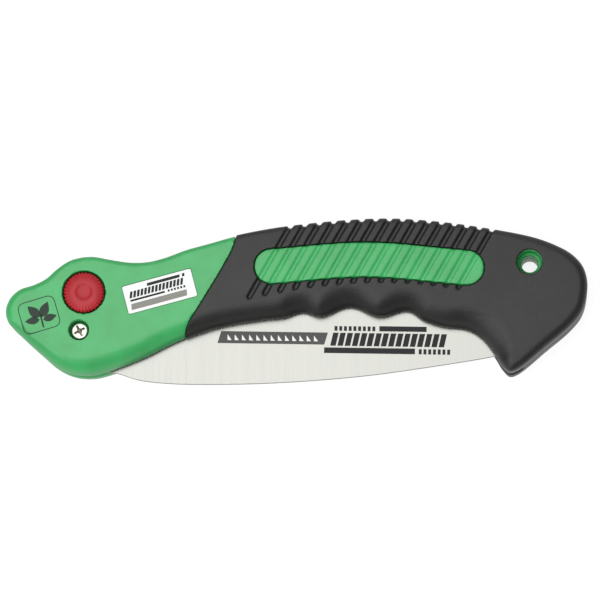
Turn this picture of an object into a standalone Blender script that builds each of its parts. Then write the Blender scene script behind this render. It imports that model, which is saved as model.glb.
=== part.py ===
"""Folding pruning saw, folded, lying on its far side.

The handle is two green plastic half shells, each with a black rubber grip moulded over it. They are screwed
together from the far side and leave a slot between them for the blade. The blade turns on a bush round the
pivot screw. A red button on the near side moves the lock plunger, whose collar belongs to two notches in the
blade's tang, one for the folded blade and one for the open blade.

Everything is laid out from the pivot: x runs along the handle to its tail, y across it to the spine, and z
through it, from the plane where the half shells meet to the near side. An empty at the pivot then carries the
saw to where it lies, with its far side on z = 0 and the middle of its box over the origin.
"""

import math

import bmesh
import bpy
from mathutils import Matrix, Vector

MM = 0.001

# ---- Driving sizes ---------------------------------------------------------------------------------------
GRIP_START = 42.0 * MM  # pivot to where the lower edge of the grip begins
GRIP_LENGTH = 123.0 * MM  # from there to the root of the tail hook
GRIP_THICKNESS = 24.0 * MM
HEAD_STEP = 0.6 * MM  # how far the grip stands over the head on each side
RUBBER = 2.0 * MM  # thickness of the moulded grip
SHELL_WALL = 2.4 * MM
RIB = 2.2 * MM  # webs between the hollows of a half shell
HOLLOWS = 5  # hollows between the lock and the hang hole
FAR_EDGE = 4.5 * MM  # widest rounding round the far half, which is fuller than the near one

BLADE_THICKNESS = 1.4 * MM
BLADE_SIDE_GAP = 1.7 * MM  # blade to the side of its slot
BLADE_EDGE_GAP = 1.2 * MM  # blade to the walls round its slot
TIP_PAST_GRIP = 12.0 * MM  # how far the folded tip reaches into the tail
TOOTH_LINE = 14.0 * MM  # height of the tooth tips over the pivot
TOOTH_PITCH = 4.0 * MM
TOOTH_DEPTH = 3.0 * MM
HEEL = 24.0 * MM  # pivot to the first tooth
TANG_RADIUS = 12.0 * MM

PIVOT_SCREW_RADIUS = 2.0 * MM
PIVOT_HEAD_RADIUS = 3.4 * MM
PIVOT_HEAD_HEIGHT = 2.2 * MM
PIVOT_HEAD_DEPTH = 2.6 * MM  # from the face of the head down to the screw
BUSH_RADIUS = 4.0 * MM
RUNNING_GAP = 0.25 * MM  # bush to the blade's hole
NUT_ACROSS_FLATS = 7.0 * MM
NUT_HEIGHT = 3.2 * MM
NUT_WASHER_THICKNESS = 0.8 * MM
WASHER_RADIUS = 7.0 * MM
WASHER_THICKNESS = 1.1 * MM

BUTTON = Vector((1.75 * MM, 15.3 * MM))  # axis of the lock button
BUTTON_RADIUS = 8.3 * MM
BUTTON_HEIGHT = 3.0 * MM
BUTTON_PROUD = 0.6 * MM
BUTTON_TRAVEL = 3.0 * MM
FLUTES = 36
STEM_RADIUS = 2.0 * MM
COLLAR_RADIUS = 5.0 * MM
COLLAR_HEIGHT = 2.5 * MM
SPRING_WIRE = 0.5 * MM
SPRING_TURNS = 2.5

BODY_SCREW_RADIUS = 1.45 * MM
BODY_HEAD_RADIUS = 2.8 * MM
BODY_HEAD_HEIGHT = 1.8 * MM
BODY_SCREW_SEAT = 6.8 * MM  # from the meeting plane to the face that each head pulls on
BODY_SCREW_BITE = 6.0 * MM  # how far each screw runs into the near shell
BOSS_WALL = 1.2 * MM  # round the sunk screw heads

HANG_HOLE_RADIUS = 3.3 * MM
HANG_RUBBER_RADIUS = 5.0 * MM
PAD_HALF_WIDTH = 6.9 * MM

GROOVES = 16
GROOVE_PITCH = 0.04415 * GRIP_LENGTH
GROOVE_WIDTH = 2.0 * MM
GROOVE_DEPTH = 0.9 * MM
GROOVE_ANGLE = math.radians(60.7)

LABEL_LENGTH = 28.4 * MM
LABEL_WIDTH = 11.4 * MM
LABEL_THICKNESS = 0.3 * MM
LABEL_TURN = math.radians(15.3)

GAP = 0.3 * MM  # between pieces that touch on the real saw
SCREW_HEAD_ROOM = 0.7 * MM  # round a sunk screw head

# ---- Sizes worked out from them ---------------------------------------------------------------------------
GRIP_TOP = GRIP_THICKNESS / 2
HEAD_TOP = GRIP_TOP - HEAD_STEP
CORE_INSET = RUBBER + GAP
CORE_TOP = GRIP_TOP - CORE_INSET
SLOT_SIDE = BLADE_THICKNESS / 2 + BLADE_SIDE_GAP
MEETING_GAP = GAP / 2
TAIL_START = GRIP_START + GRIP_LENGTH
BLADE_TIP = TAIL_START + TIP_PAST_GRIP
SLOT_TOP = TOOTH_LINE + BLADE_EDGE_GAP
NOTCH_RADIUS = COLLAR_RADIUS + GAP
BUTTON_SWEEP = BUTTON_RADIUS + 1.5 * GAP  # radius of the button's well
BUTTON_CROWN = HEAD_TOP + BUTTON_PROUD
BUTTON_UNDERSIDE = BUTTON_CROWN - BUTTON_HEIGHT
WELL_FLOOR = BUTTON_UNDERSIDE - BUTTON_TRAVEL - 2 * GAP
BUSH_HALF_LENGTH = SLOT_SIDE + 1.4 * MM
BUSH_BORE_END = BUSH_HALF_LENGTH + GAP
HEAD_SEAT = HEAD_TOP - PIVOT_HEAD_DEPTH - PIVOT_HEAD_HEIGHT - GAP
NUT_SEAT = HEAD_TOP - NUT_HEIGHT - NUT_WASHER_THICKNESS - 3.5 * GAP
OVER = 4.0 * MM  # how far cutters run past what they cut

# ---- Outlines, each point as x, y and the width of the rounded edge there ---------------------------------
# The head keeps its distances from the pivot, the tail those from the grip's end, and the grip stretches.
HEAD_LOWER = (
    (-30.3, 8.2, 3.5), (-29.2, 3.4, 4), (-25.0, -0.9, 5), (-16.1, -8.9, 6.5), (-9.5, -14.3, 7.5),
    (-3.0, -17.2, 8), (4.5, -17.8, 8.5), (11.2, -16.3, 8.5), (26.6, -10.2, 8), (35.8, -5.5, 8),
)
GRIP_LOWER = (
    (0.010, -2.2, 7.5), (0.110, 2.0, 7.5), (0.255, 5.1, 7), (0.325, 6.0, 7.5), (0.385, 8.1, 9.5),
    (0.443, 6.4, 6.5), (0.540, 10.3, 10.5), (0.634, 6.4, 6.5), (0.730, 8.7, 10), (0.780, 4.9, 8.5),
    (0.845, 2.4, 8), (0.920, 1.2, 10),
)
TAIL = (
    (-5.2, -1.2, 10.5), (-1.7, -4.6, 10), (1.9, -9.6, 8), (4.4, -13.7, 5), (7.4, -16.3, 3), (10.6, -15.3, 3),
    (22.2, -5.8, 3.5), (31.6, 2.3, 3.5), (36.2, 8.2, 3.5), (38.1, 15.0, 3.5), (38.2, 20.8, 3.5),
    (36.3, 26.5, 3.5), (31.8, 31.3, 3.5), (25.6, 34.7, 3.2), (17.0, 37.8, 2.8),
)
GRIP_UPPER = (
    (0.990, 41.4, 2.2), (0.830, 44.2, 2.2), (0.680, 45.5, 2.2), (0.540, 45.0, 2.2), (0.400, 43.4, 2.2),
    (0.280, 41.4, 2.2), (0.170, 38.7, 2.2), (0.080, 35.6, 2.2),
)
HEAD_UPPER = (
    (42.0, 32.8, 2.2), (34.0, 29.8, 2.2), (27.0, 28.1, 2.2), (20.0, 27.9, 2.2), (13.0, 28.9, 2.2),
    (4.0, 30.3, 2.2), (-4.0, 28.8, 2.2), (-9.5, 25.3, 2.4), (-14.0, 21.3, 2.6), (-19.0, 18.8, 2.8),
    (-24.5, 17.0, 3), (-28.5, 13.3, 3.2),
)
# Seam between the green head and the black grip, from the spine down, from the start of the grip.
SEAM = (
    (21.3, 49), (20.6, 40), (19.7, 34.5), (15.4, 25.7), (9.2, 15.1), (5.4, 8.8), (2.2, 3.6), (0.4, -1.5),
    (0, -9),
)
# Back of the blade, as a share of its reach and a height, from the notch shoulder to the tip.
SPINE = (
    (0.023, -14.4), (0.050, -15.3), (0.085, -16.3), (0.132, -18.9), (0.205, -20.3), (0.300, -20.6),
    (0.410, -20.2), (0.520, -19.1), (0.650, -17.0), (0.780, -13.8), (0.900, -10.4), (0.960, -8.4),
)
NOSE = ((0.988, -4.6), (1.000, 1.0), (0.992, 7.0), (0.976, 12.4))
HEADS_OF_BODY_SCREWS = (  # x from the pivot or the grip's start or the tail's start, and y
    (30.0 * MM, 21.9 * MM),
    (GRIP_START + 0.40 * GRIP_LENGTH, 27.6 * MM),
    (GRIP_START + 0.86 * GRIP_LENGTH, 26.7 * MM),
    (TAIL_START + 26.0 * MM, 12.0 * MM),
)
HANG_HOLE = Vector((TAIL_START + 15.3 * MM, 27.6 * MM))
LABEL = Vector((32.3 * MM, 15.6 * MM))
PAD_LINE = ((0.287, 25.8), (0.595, 28.5), (0.920, 25.2))  # middle line of the grip's green pad
FIRST_GROOVE = (0.345, 42.0)  # where the first groove crosses the spine
GROOVE_FEET = (0.642, 19.0, 185.0)  # top of the arc that the grooves' lower ends stand on, and its radius


def grip_x(share):
    return GRIP_START + share * GRIP_LENGTH


# ---- Plain modelling helpers ------------------------------------------------------------------------------
def collection(name):
    made = bpy.data.collections.new(name)
    bpy.context.scene.collection.children.link(made)
    return made


def material(name, colour, roughness, metallic=0.0):
    made = bpy.data.materials.new(name)
    made.use_nodes = True
    shader = made.node_tree.nodes["Principled BSDF"]
    shader.inputs["Base Color"].default_value = (*colour, 1)
    shader.inputs["Roughness"].default_value = roughness
    shader.inputs["Metallic"].default_value = metallic
    return made


def placed(name, mesh, at=(0, 0, 0)):
    """A new cutter from a mesh, at a place in the pivot's frame."""
    made = bpy.data.objects.new(name, mesh)
    CUTTERS.objects.link(made)
    made.parent = ROOT
    made.location = at
    made.hide_render = True
    made.display_type = "WIRE"
    return made


def part(made, finish):
    """Turns a helper object into a piece of the saw, carried by the pivot's empty."""
    CUTTERS.objects.unlink(made)
    SAW.objects.link(made)
    made.hide_render = False
    made.display_type = "TEXTURED"
    made.data.materials.clear()
    made.data.materials.append(finish)
    if made.type == "MESH":
        made.data.shade_smooth()
        made.data.set_sharp_from_angle(angle=math.radians(35))
    return made


def baked(made):
    """The object with its modifiers made real, as a plain mesh."""
    bpy.context.view_layer.update()
    graph = bpy.context.evaluated_depsgraph_get()
    mesh = bpy.data.meshes.new_from_object(made.evaluated_get(graph))
    work = bmesh.new()
    work.from_mesh(mesh)
    bmesh.ops.remove_doubles(work, verts=work.verts, dist=1e-7)
    work.to_mesh(mesh)
    work.free()
    plain = placed(made.name, mesh)
    plain.matrix_world = made.matrix_world
    name = made.name
    bpy.data.objects.remove(made)
    plain.name = name
    return plain


def boolean(target, other, operation="DIFFERENCE"):
    modifier = target.modifiers.new(operation.lower(), "BOOLEAN")
    modifier.operation = operation
    modifier.solver = "EXACT"
    modifier.object = other
    return target


def cut(target, *cutters):
    for cutter in cutters:
        boolean(target, cutter)
    return target


def cylinder(name, radius, low, high, at=(0, 0), sides=24):
    """A cylinder along z from low to high."""
    work = bmesh.new()
    depth = high - low
    bmesh.ops.create_cone(work, cap_ends=True, segments=sides, radius1=radius, radius2=radius, depth=depth)
    bmesh.ops.translate(work, verts=work.verts, vec=(0, 0, (low + high) / 2))
    mesh = bpy.data.meshes.new(name)
    work.to_mesh(mesh)
    work.free()
    return placed(name, mesh, (at[0], at[1], 0))


def plate(name, outline, low, high, *holes):
    """A flat outline with holes, thickened from low to high."""
    curve = bpy.data.curves.new(name, "CURVE")
    curve.dimensions = "2D"
    curve.fill_mode = "BOTH"
    curve.extrude = (high - low) / 2
    for loop in (outline, *holes):
        spline = curve.splines.new("POLY")
        spline.points.add(len(loop) - 1)
        for point, (x, y) in zip(spline.points, loop):
            point.co = (x, y, 0, 1)
        spline.use_cyclic_u = True
    made = placed(name, curve, (0, 0, (low + high) / 2))
    return baked(made)


def turned(name, profile, at=(0, 0), steps=32):
    """A turned piece from radius and height pairs, which run down its outer side from the top."""
    mesh = bpy.data.meshes.new(name)
    points = [(radius, 0, height) for radius, height in profile]
    mesh.from_pydata(points, [(i, i + 1) for i in range(len(points) - 1)], [])
    made = placed(name, mesh, (at[0], at[1], 0))
    screw = made.modifiers.new("turn", "SCREW")
    screw.steps = screw.render_steps = steps
    screw.use_merge_vertices = True
    screw.merge_threshold = 0.01 * MM
    return made


def circle(radius, sides, at=(0, 0), start=0.0, end=2 * math.pi):
    """Points round an arc, the last one left out on a full circle."""
    full = abs(end - start) >= 2 * math.pi - 1e-6
    count = sides if full else sides + 1
    turns = [start + (end - start) * i / sides for i in range(count)]
    return [(at[0] + radius * math.cos(a), at[1] + radius * math.sin(a)) for a in turns]


def smooth(points, spacing, closed=True):
    """Points about a spacing apart on a centripetal Catmull-Rom curve through all the given ones."""
    points = [Vector(p) for p in points]
    count = len(points)
    found = []
    for i in range(count if closed else count - 1):
        if closed:
            p0, p1, p2, p3 = (points[(i + k - 1) % count] for k in range(4))
        else:
            p1, p2 = points[i], points[i + 1]
            p0 = points[i - 1] if i else p1 + (p1 - p2)
            p3 = points[i + 2] if i + 2 < count else p2 + (p2 - p1)
        t1 = (p1 - p0).length ** 0.5
        t2 = t1 + (p2 - p1).length ** 0.5
        t3 = t2 + (p3 - p2).length ** 0.5
        steps = max(1, round((p2 - p1).length / spacing))
        for k in range(steps):
            t = t1 + (t2 - t1) * k / steps
            a1 = p0.lerp(p1, t / t1)
            a2 = p1.lerp(p2, (t - t1) / (t2 - t1))
            a3 = p2.lerp(p3, (t - t2) / (t3 - t2))
            b1 = a1.lerp(a2, t / t2)
            b2 = a2.lerp(a3, (t - t1) / (t3 - t1))
            found.append(b1.lerp(b2, (t - t1) / (t2 - t1)))
    if not closed:
        found.append(points[-1])
    return found


# ---- The handle's outer form ------------------------------------------------------------------------------
def handle_outline():
    """Points round the handle, with the width of its rounded edge as their third value."""
    found = [Vector((x, y, w)) * MM for x, y, w in HEAD_LOWER]
    found += [Vector((grip_x(s), y * MM, w * MM)) for s, y, w in GRIP_LOWER]
    found += [Vector((TAIL_START + x * MM, y * MM, w * MM)) for x, y, w in TAIL]
    found += [Vector((grip_x(s), y * MM, w * MM)) for s, y, w in GRIP_UPPER]
    found += [Vector((x, y, w)) * MM for x, y, w in HEAD_UPPER]
    return smooth(found, OUTLINE_SPACING)


OUTLINE_SPACING = 5.0 * MM
EDGE_STEPS = 2


def inward(outline):
    """The unit normals of an anticlockwise outline, pointing into it."""
    count = len(outline)
    runs = [outline[(i + 1) % count].xy - outline[i - 1].xy for i in range(count)]
    return [Vector((-run.y, run.x)).normalized() for run in runs]


def rounded_half(name, inset, top, low=0.0, widest=math.inf):
    """Half a handle: the outline set in, standing from low to top, with its upper edge rounded.

    The rounding is as wide as the outline says, up to the widest allowed, and as deep as the half allows. So
    it is a loft between rings of unlike spacing.
    """
    outline = handle_outline()
    normals = inward(outline)
    rings = []
    for step in range(-1, EDGE_STEPS + 1):
        turn = max(0, step) / EDGE_STEPS * math.pi / 2
        ring = []
        for point, normal in zip(outline, normals):
            edge = min(point.z, widest)
            width = edge - inset
            height = min(edge, 0.75 * top)
            across = inset + width * (1 - math.cos(turn))
            up = low if step < 0 else top - height * (1 - math.sin(turn))
            ring.append((*(point.xy + normal * across), up))
        rings.append(ring)
    work = bmesh.new()
    loops = [[work.verts.new(co) for co in ring] for ring in rings]
    count = len(outline)
    for lower, upper in zip(loops, loops[1:]):
        for i in range(count):
            j = (i + 1) % count
            work.faces.new((lower[i], lower[j], upper[j], upper[i]))
    work.faces.new(loops[-1])
    work.faces.new(reversed(loops[0]))
    bmesh.ops.recalc_face_normals(work, faces=work.faces)
    mesh = bpy.data.meshes.new(name)
    work.to_mesh(mesh)
    work.free()
    return placed(name, mesh)


def seam_side(name, towards_tail, shift=0.0):
    """A block that covers everything on one side of the seam between head and grip."""
    line = smooth([(GRIP_START + x * MM + shift, y * MM) for x, y in SEAM], 5 * MM, closed=False)
    far_x = BLADE_TIP + 100 * MM if towards_tail else -100 * MM
    low, high = line[-1].y - 40 * MM, line[0].y + 40 * MM
    corners = [(line[-1].x, low), (far_x, low), (far_x, high), (line[0].x, high)]
    return plate(name, [tuple(p) for p in line] + corners, -OVER, GRIP_TOP + OVER)


def pad_outline(grow=0.0):
    """The green pad in the grip: a band of even width along its middle line, with round ends."""
    line = smooth([(grip_x(s), y * MM) for s, y in PAD_LINE], 14 * MM, closed=False)
    radius = PAD_HALF_WIDTH + grow
    ends = []
    for tip, inner in ((line[-1], line[-2]), (line[0], line[1])):
        heading = math.atan2((tip - inner).y, (tip - inner).x)
        ends.append(circle(radius, 8, tip, heading - math.pi / 2, heading + math.pi / 2))
    sides = []
    for i in range(1, len(line) - 1):
        run = (line[i + 1] - line[i - 1]).normalized()
        sides.append(Vector((-run.y, run.x)))
    upper = [tuple(p + n * radius) for p, n in zip(line[1:-1], sides)]
    lower = [tuple(p - n * radius) for p, n in zip(line[1:-1], sides)]
    return lower + ends[0] + upper[::-1] + ends[1]


def span_at(x, inset):
    """The lowest and highest y inside the outline at x, less an inset."""
    outline = handle_outline()
    crossings = []
    for a, b in zip(outline, outline[1:] + outline[:1]):
        if (a.x - x) * (b.x - x) < 0:
            crossings.append(a.y + (b.y - a.y) * (x - a.x) / (b.x - a.x))
    return min(crossings) + inset, max(crossings) - inset


def blade_slot(name):
    """What both half shells leave free between them: the whole sweep of the blade, from folded to open."""
    reach = BLADE_TIP + BLADE_EDGE_GAP
    top = math.asin(SLOT_TOP / reach)
    line = circle(reach, 10, (0, 0), -0.35, top)
    shoulder = spine_points()[0]
    line.append((-shoulder.x, SLOT_TOP))
    for point in spine_points()[:7]:
        line.append((-point.x, -point.y + BLADE_EDGE_GAP))
    line += [(-60 * MM, line[-1][1]), (-60 * MM, -60 * MM), (line[0][0], -60 * MM)]
    return plate(name, line, -OVER, SLOT_SIDE)


def groove_cutter(name, widest):
    """The slanting finger-rib grooves, which follow the rounded surface at an even depth."""
    along = Vector((math.cos(GROOVE_ANGLE), math.sin(GROOVE_ANGLE)))
    across = Vector((-along.y, along.x)) * GROOVE_WIDTH / 2
    foot_x, foot_y, foot_radius = grip_x(GROOVE_FEET[0]), GROOVE_FEET[1] * MM, GROOVE_FEET[2] * MM
    work = bmesh.new()
    for k in range(GROOVES):
        crest = Vector((grip_x(FIRST_GROOVE[0]) + k * GROOVE_PITCH, FIRST_GROOVE[1] * MM))
        foot_at = crest - along * (crest.y - foot_y) / along.y
        foot_height = foot_y - (foot_at.x - foot_x) ** 2 / (2 * foot_radius)
        foot = crest - along * (crest.y - foot_height) / along.y
        past = crest + along * 3 * OVER
        corners = [foot - across, foot + across, past + across, past - across]
        low = [work.verts.new((*c, -OVER)) for c in corners]
        high = [work.verts.new((*c, GRIP_TOP + OVER)) for c in corners]
        work.faces.new(low)
        work.faces.new(high[::-1])
        for i in range(4):
            j = (i + 1) % 4
            work.faces.new((low[j], low[i], high[i], high[j]))
    bmesh.ops.recalc_face_normals(work, faces=work.faces)
    mesh = bpy.data.meshes.new(name)
    work.to_mesh(mesh)
    work.free()
    slabs = placed(name, mesh)
    floor = rounded_half("groove_floor", GROOVE_DEPTH, GRIP_TOP - GROOVE_DEPTH, -2 * OVER, widest)
    return baked(cut(slabs, floor))


# ---- The handle's pieces ----------------------------------------------------------------------------------
def hollow_cutter(name):
    """The hollows inside one half shell, with the screw bosses and the hang-hole tube left standing."""
    inset = CORE_INSET + SHELL_WALL
    ceiling = CORE_TOP - SHELL_WALL
    first, last = BUTTON.x + BUTTON_SWEEP + SHELL_WALL + 8 * MM, TAIL_START - 8 * MM
    cell = (last - first - (HOLLOWS - 1) * RIB) / HOLLOWS
    starts = [first + i * (cell + RIB) for i in range(HOLLOWS)]
    cells = [(x, x + cell) for x in starts] + [(TAIL_START + 9 * MM, TAIL_START + 31 * MM)]
    made = None
    for left, right in cells:
        stations = [left + (right - left) * i / 3 for i in range(4)]
        spans = [span_at(x, inset) for x in stations]
        lower = [(x, s[0]) for x, s in zip(stations, spans)]
        upper = [(x, s[1]) for x, s in zip(stations, spans)]
        block = plate(f"hollow_{round(left / MM)}", lower + upper[::-1], -OVER, ceiling)
        made = block if made is None else baked(boolean(made, block, "UNION"))
    made.name = name
    boss_radius = BODY_HEAD_RADIUS + SCREW_HEAD_ROOM + BOSS_WALL
    bosses = [cylinder("boss", boss_radius, -2 * OVER, GRIP_TOP, p, 12) for p in HEADS_OF_BODY_SCREWS]
    tube = cylinder("hang_tube", HANG_HOLE_RADIUS + SHELL_WALL, -2 * OVER, GRIP_TOP, HANG_HOLE, 20)
    return baked(cut(made, *bosses, tube))


def shell_blank(grooves, widest=math.inf):
    """What the near and the far half shell have in common, standing on the plane where they meet."""
    blank = rounded_half("shell_blank", 0, HEAD_TOP, MEETING_GAP, widest)
    cut(blank, seam_side("past_seam", True))
    core = rounded_half("core", CORE_INSET, CORE_TOP, MEETING_GAP, widest)
    boolean(blank, core, "UNION")
    boolean(blank, plate("pad", pad_outline(), CORE_TOP - SHELL_WALL / 2, GRIP_TOP), "UNION")
    hang = cylinder("hang_bore", HANG_HOLE_RADIUS, -OVER, GRIP_TOP + OVER, HANG_HOLE)
    cut(blank, SLOT, hollow_cutter("hollows"), grooves, hang)
    cut(blank, cylinder("screw_way", PIVOT_SCREW_RADIUS + GAP, -OVER, HEAD_TOP + OVER))
    cut(blank, cylinder("bush_bore", BUSH_RADIUS + GAP, -OVER, BUSH_BORE_END))
    return baked(blank)


def grip_blank(grooves, widest=math.inf):
    """One rubber grip, standing on the plane where the halves meet."""
    blank = rounded_half("grip_blank", 0, GRIP_TOP, MEETING_GAP, widest)
    inside = rounded_half("grip_inside", RUBBER, GRIP_TOP - RUBBER, -OVER, widest)
    window = plate("pad_window", pad_outline(GAP), -OVER, GRIP_TOP + OVER)
    hang = cylinder("hang_opening", HANG_RUBBER_RADIUS, -OVER, GRIP_TOP + OVER, HANG_HOLE)
    cut(blank, seam_side("before_seam", False, GAP), inside, SLOT, window, grooves, hang)
    return baked(blank)


def turned_over(made, name):
    """Mirrors a piece that stands on the meeting plane, so that it belongs to the far side."""
    made.data.transform(Matrix.Diagonal((1, 1, -1, 1)))
    made.data.flip_normals()
    made.name = name
    return made


def button_well():
    well = cylinder("button_well", BUTTON_SWEEP, WELL_FLOOR, HEAD_TOP + OVER, BUTTON, 40)
    way = cylinder("stem_way", STEM_RADIUS + GAP, -OVER, HEAD_TOP, BUTTON)
    hub_room = cylinder("hub_room", NOTCH_RADIUS, -OVER, SLOT_SIDE, BUTTON)
    return well, way, hub_room


def label_recess():
    outline = rounded_rectangle(LABEL_LENGTH + 2 * GAP, LABEL_WIDTH + 2 * GAP, 0.8 * MM, LABEL, LABEL_TURN)
    return plate("label_recess", outline, HEAD_TOP - LABEL_THICKNESS - GAP, HEAD_TOP + OVER)


def rounded_rectangle(length, width, radius, centre, turn):
    corners = ((1, 1, 0), (-1, 1, 1), (-1, -1, 2), (1, -1, 3))
    points = []
    for sx, sy, quarter in corners:
        middle = (sx * (length / 2 - radius), sy * (width / 2 - radius))
        points += circle(radius, 3, middle, quarter * math.pi / 2, (quarter + 1) * math.pi / 2)
    rotation = Matrix.Rotation(turn, 2)
    return [tuple(rotation @ Vector(p) + centre) for p in points]


def front_shell():
    made = shell_blank(groove_cutter("near_shell_grooves", math.inf))
    made.name = "front_shell"
    cut(made, *button_well(), label_recess())
    cut(made, cylinder("head_recess", PIVOT_HEAD_RADIUS + SCREW_HEAD_ROOM, HEAD_SEAT, HEAD_TOP + OVER))
    for at in HEADS_OF_BODY_SCREWS:
        cut(made, cylinder("pilot", BODY_SCREW_RADIUS + GAP, -OVER, BODY_SCREW_BITE + GAP, at, 12))
    return part(made, GREEN)


def rear_shell():
    made = turned_over(shell_blank(groove_cutter("far_shell_grooves", FAR_EDGE), FAR_EDGE), "rear_shell")
    floor = -(BLADE_THICKNESS / 2 + GAP + COLLAR_HEIGHT + BUTTON_TRAVEL + 1.5 * GAP)
    cut(made, cylinder("collar_bore", COLLAR_RADIUS + 1.3 * GAP, floor, OVER, BUTTON))
    nut_radius = NUT_ACROSS_FLATS / math.sqrt(3) + GAP
    cut(made, cylinder("nut_pocket", nut_radius, -HEAD_TOP - OVER, -NUT_SEAT, sides=6))
    head_radius = BODY_HEAD_RADIUS + SCREW_HEAD_ROOM
    for at in HEADS_OF_BODY_SCREWS:
        cut(made, cylinder("clearance", BODY_SCREW_RADIUS + GAP, -GRIP_TOP, OVER, at, 12))
        cut(made, cylinder("counterbore", head_radius, -GRIP_TOP - OVER, -BODY_SCREW_SEAT, at, 16))
    return part(made, GREEN)


def front_grip():
    made = grip_blank(groove_cutter("near_grip_grooves", math.inf))
    made.name = "front_grip"
    return part(made, BLACK)


def rear_grip():
    made = turned_over(grip_blank(groove_cutter("far_grip_grooves", FAR_EDGE), FAR_EDGE), "rear_grip")
    radius = BODY_HEAD_RADIUS + SCREW_HEAD_ROOM + GAP
    cut(made, cylinder("grip_counterbore", radius, -GRIP_TOP - OVER, 0, HEADS_OF_BODY_SCREWS[-1], 16))
    return part(made, BLACK)


def name_label():
    outline = rounded_rectangle(LABEL_LENGTH, LABEL_WIDTH, 0.8 * MM, LABEL, LABEL_TURN)
    return part(plate("label", outline, HEAD_TOP - LABEL_THICKNESS, HEAD_TOP), SILVER)


# ---- The blade --------------------------------------------------------------------------------------------
def spine_points():
    """The blade's back, from the shoulder beside the open notch to the nose."""
    return smooth([(s * BLADE_TIP, y * MM) for s, y in SPINE], 9 * MM, closed=False)


def notch(centre, first_turn, last_turn):
    return circle(NOTCH_RADIUS, 8, centre, first_turn, last_turn)


def blade_outline():
    """Anticlockwise round the folded blade: back, nose, teeth, folded notch, tang and open notch."""
    outline = [tuple(p) for p in spine_points()]
    outline += [tuple(p) for p in smooth([(s * BLADE_TIP, y * MM) for s, y in NOSE], 5 * MM, closed=False)]
    tooth_run = 0.965 * BLADE_TIP - HEEL
    teeth = int(tooth_run / TOOTH_PITCH)
    for k in range(teeth):
        tip = HEEL + (teeth - k - 0.5) * TOOTH_PITCH
        outline.append((tip + 0.15 * TOOTH_PITCH, TOOTH_LINE))
        outline.append((tip - 0.5 * TOOTH_PITCH, TOOTH_LINE - TOOTH_DEPTH))
    outline.append((HEEL - 0.6 * TOOTH_PITCH, TOOTH_LINE))
    # The collar's circle round the button cuts the flat beside the teeth and the round tang.
    rise = math.asin((TOOTH_LINE - BUTTON.y) / NOTCH_RADIUS)
    distance = BUTTON.length
    bearing = math.atan2(BUTTON.y, BUTTON.x)
    half = math.acos((distance**2 + TANG_RADIUS**2 - NOTCH_RADIUS**2) / (2 * distance * TANG_RADIUS))
    first, last = bearing + half, bearing + math.pi - half
    meets = Vector((math.cos(first), math.sin(first))) * TANG_RADIUS - BUTTON
    outline += notch(BUTTON, rise, math.atan2(meets.y, meets.x))[:-1]
    outline += circle(TANG_RADIUS, 18, (0, 0), first, last)
    opened = -BUTTON
    meets = Vector((math.cos(last), math.sin(last))) * TANG_RADIUS - opened
    lift = math.asin((spine_points()[0].y - opened.y) / NOTCH_RADIUS)
    outline += notch(opened, math.atan2(meets.y, meets.x), lift)[1:]
    return outline


def blade():
    hole = circle(BUSH_RADIUS + RUNNING_GAP, 40)
    half = BLADE_THICKNESS / 2
    return part(plate("blade", blade_outline(), -half, half, hole), STEEL)


# ---- The pivot --------------------------------------------------------------------------------------------
def cross_recess(name, radius, top, depth, at=(0, 0), down=1):
    """A cutter for the cross in a screw head that faces up, or down with down = -1."""
    made = None
    for turn in (0, 1):
        work = bmesh.new()
        bmesh.ops.create_cube(work, size=1)
        bmesh.ops.scale(work, verts=work.verts, vec=(2 * radius, 0.5 * radius, 2 * depth))
        bmesh.ops.rotate(work, verts=work.verts, matrix=Matrix.Rotation(turn * math.pi / 2 + 0.5, 3, "Z"))
        mesh = bpy.data.meshes.new(name)
        work.to_mesh(mesh)
        work.free()
        bar = placed(f"{name}_{turn}", mesh, (at[0], at[1], down * top))
        made = bar if made is None else baked(boolean(made, bar, "UNION"))
    return made


def pan_head_screw(name, at, seat, head_radius, head_height, radius, tip, down=1, steps=24):
    """A pan-head screw along z. Its head stands on seat, and its shank runs to tip."""
    crown = seat + head_height
    dome = [(0, 0), (0.62, 0.06), (0.9, 0.3), (1, 0.6)]
    profile = [(r * head_radius, crown - drop * head_height) for r, drop in dome]
    profile += [(head_radius, seat), (radius, seat)]
    profile += [(radius, tip + radius / 2), (0.6 * radius, tip), (0, tip)]
    made = baked(turned(name, profile, at, steps))
    if down < 0:
        made.data.transform(Matrix.Diagonal((1, 1, -1, 1)))
        made.data.flip_normals()
    cut(made, cross_recess(f"{name}_cross", 0.55 * head_radius, crown, 0.6 * head_height, at, down))
    return part(made, ZINC)


def pivot_screw():
    sizes = (PIVOT_HEAD_RADIUS, PIVOT_HEAD_HEIGHT, PIVOT_SCREW_RADIUS, -HEAD_TOP + 2 * GAP)
    return pan_head_screw("pivot_screw", (0, 0), HEAD_SEAT + GAP, *sizes)


def pivot_nut():
    near = -NUT_SEAT - NUT_WASHER_THICKNESS - 2 * GAP
    made = cylinder("pivot_nut", NUT_ACROSS_FLATS / math.sqrt(3), near - NUT_HEIGHT, near, sides=6)
    cut(made, cylinder("nut_bore", PIVOT_SCREW_RADIUS + GAP, near - NUT_HEIGHT - OVER, near + OVER))
    return part(made, ZINC)


def ring(name, outer, inner, low, high, finish, sides=36):
    made = plate(name, circle(outer, sides), low, high, circle(inner, sides))
    return part(made, finish)


def pivot_bush():
    inner = PIVOT_SCREW_RADIUS + GAP
    return ring("pivot_bush", BUSH_RADIUS, inner, -BUSH_HALF_LENGTH, BUSH_HALF_LENGTH, BRASS)


def nut_washer():
    near = -NUT_SEAT - GAP
    outer = NUT_ACROSS_FLATS / 2 - GAP / 2
    return ring("nut_washer", outer, PIVOT_SCREW_RADIUS + GAP, near - NUT_WASHER_THICKNESS, near, ZINC, 24)


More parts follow.
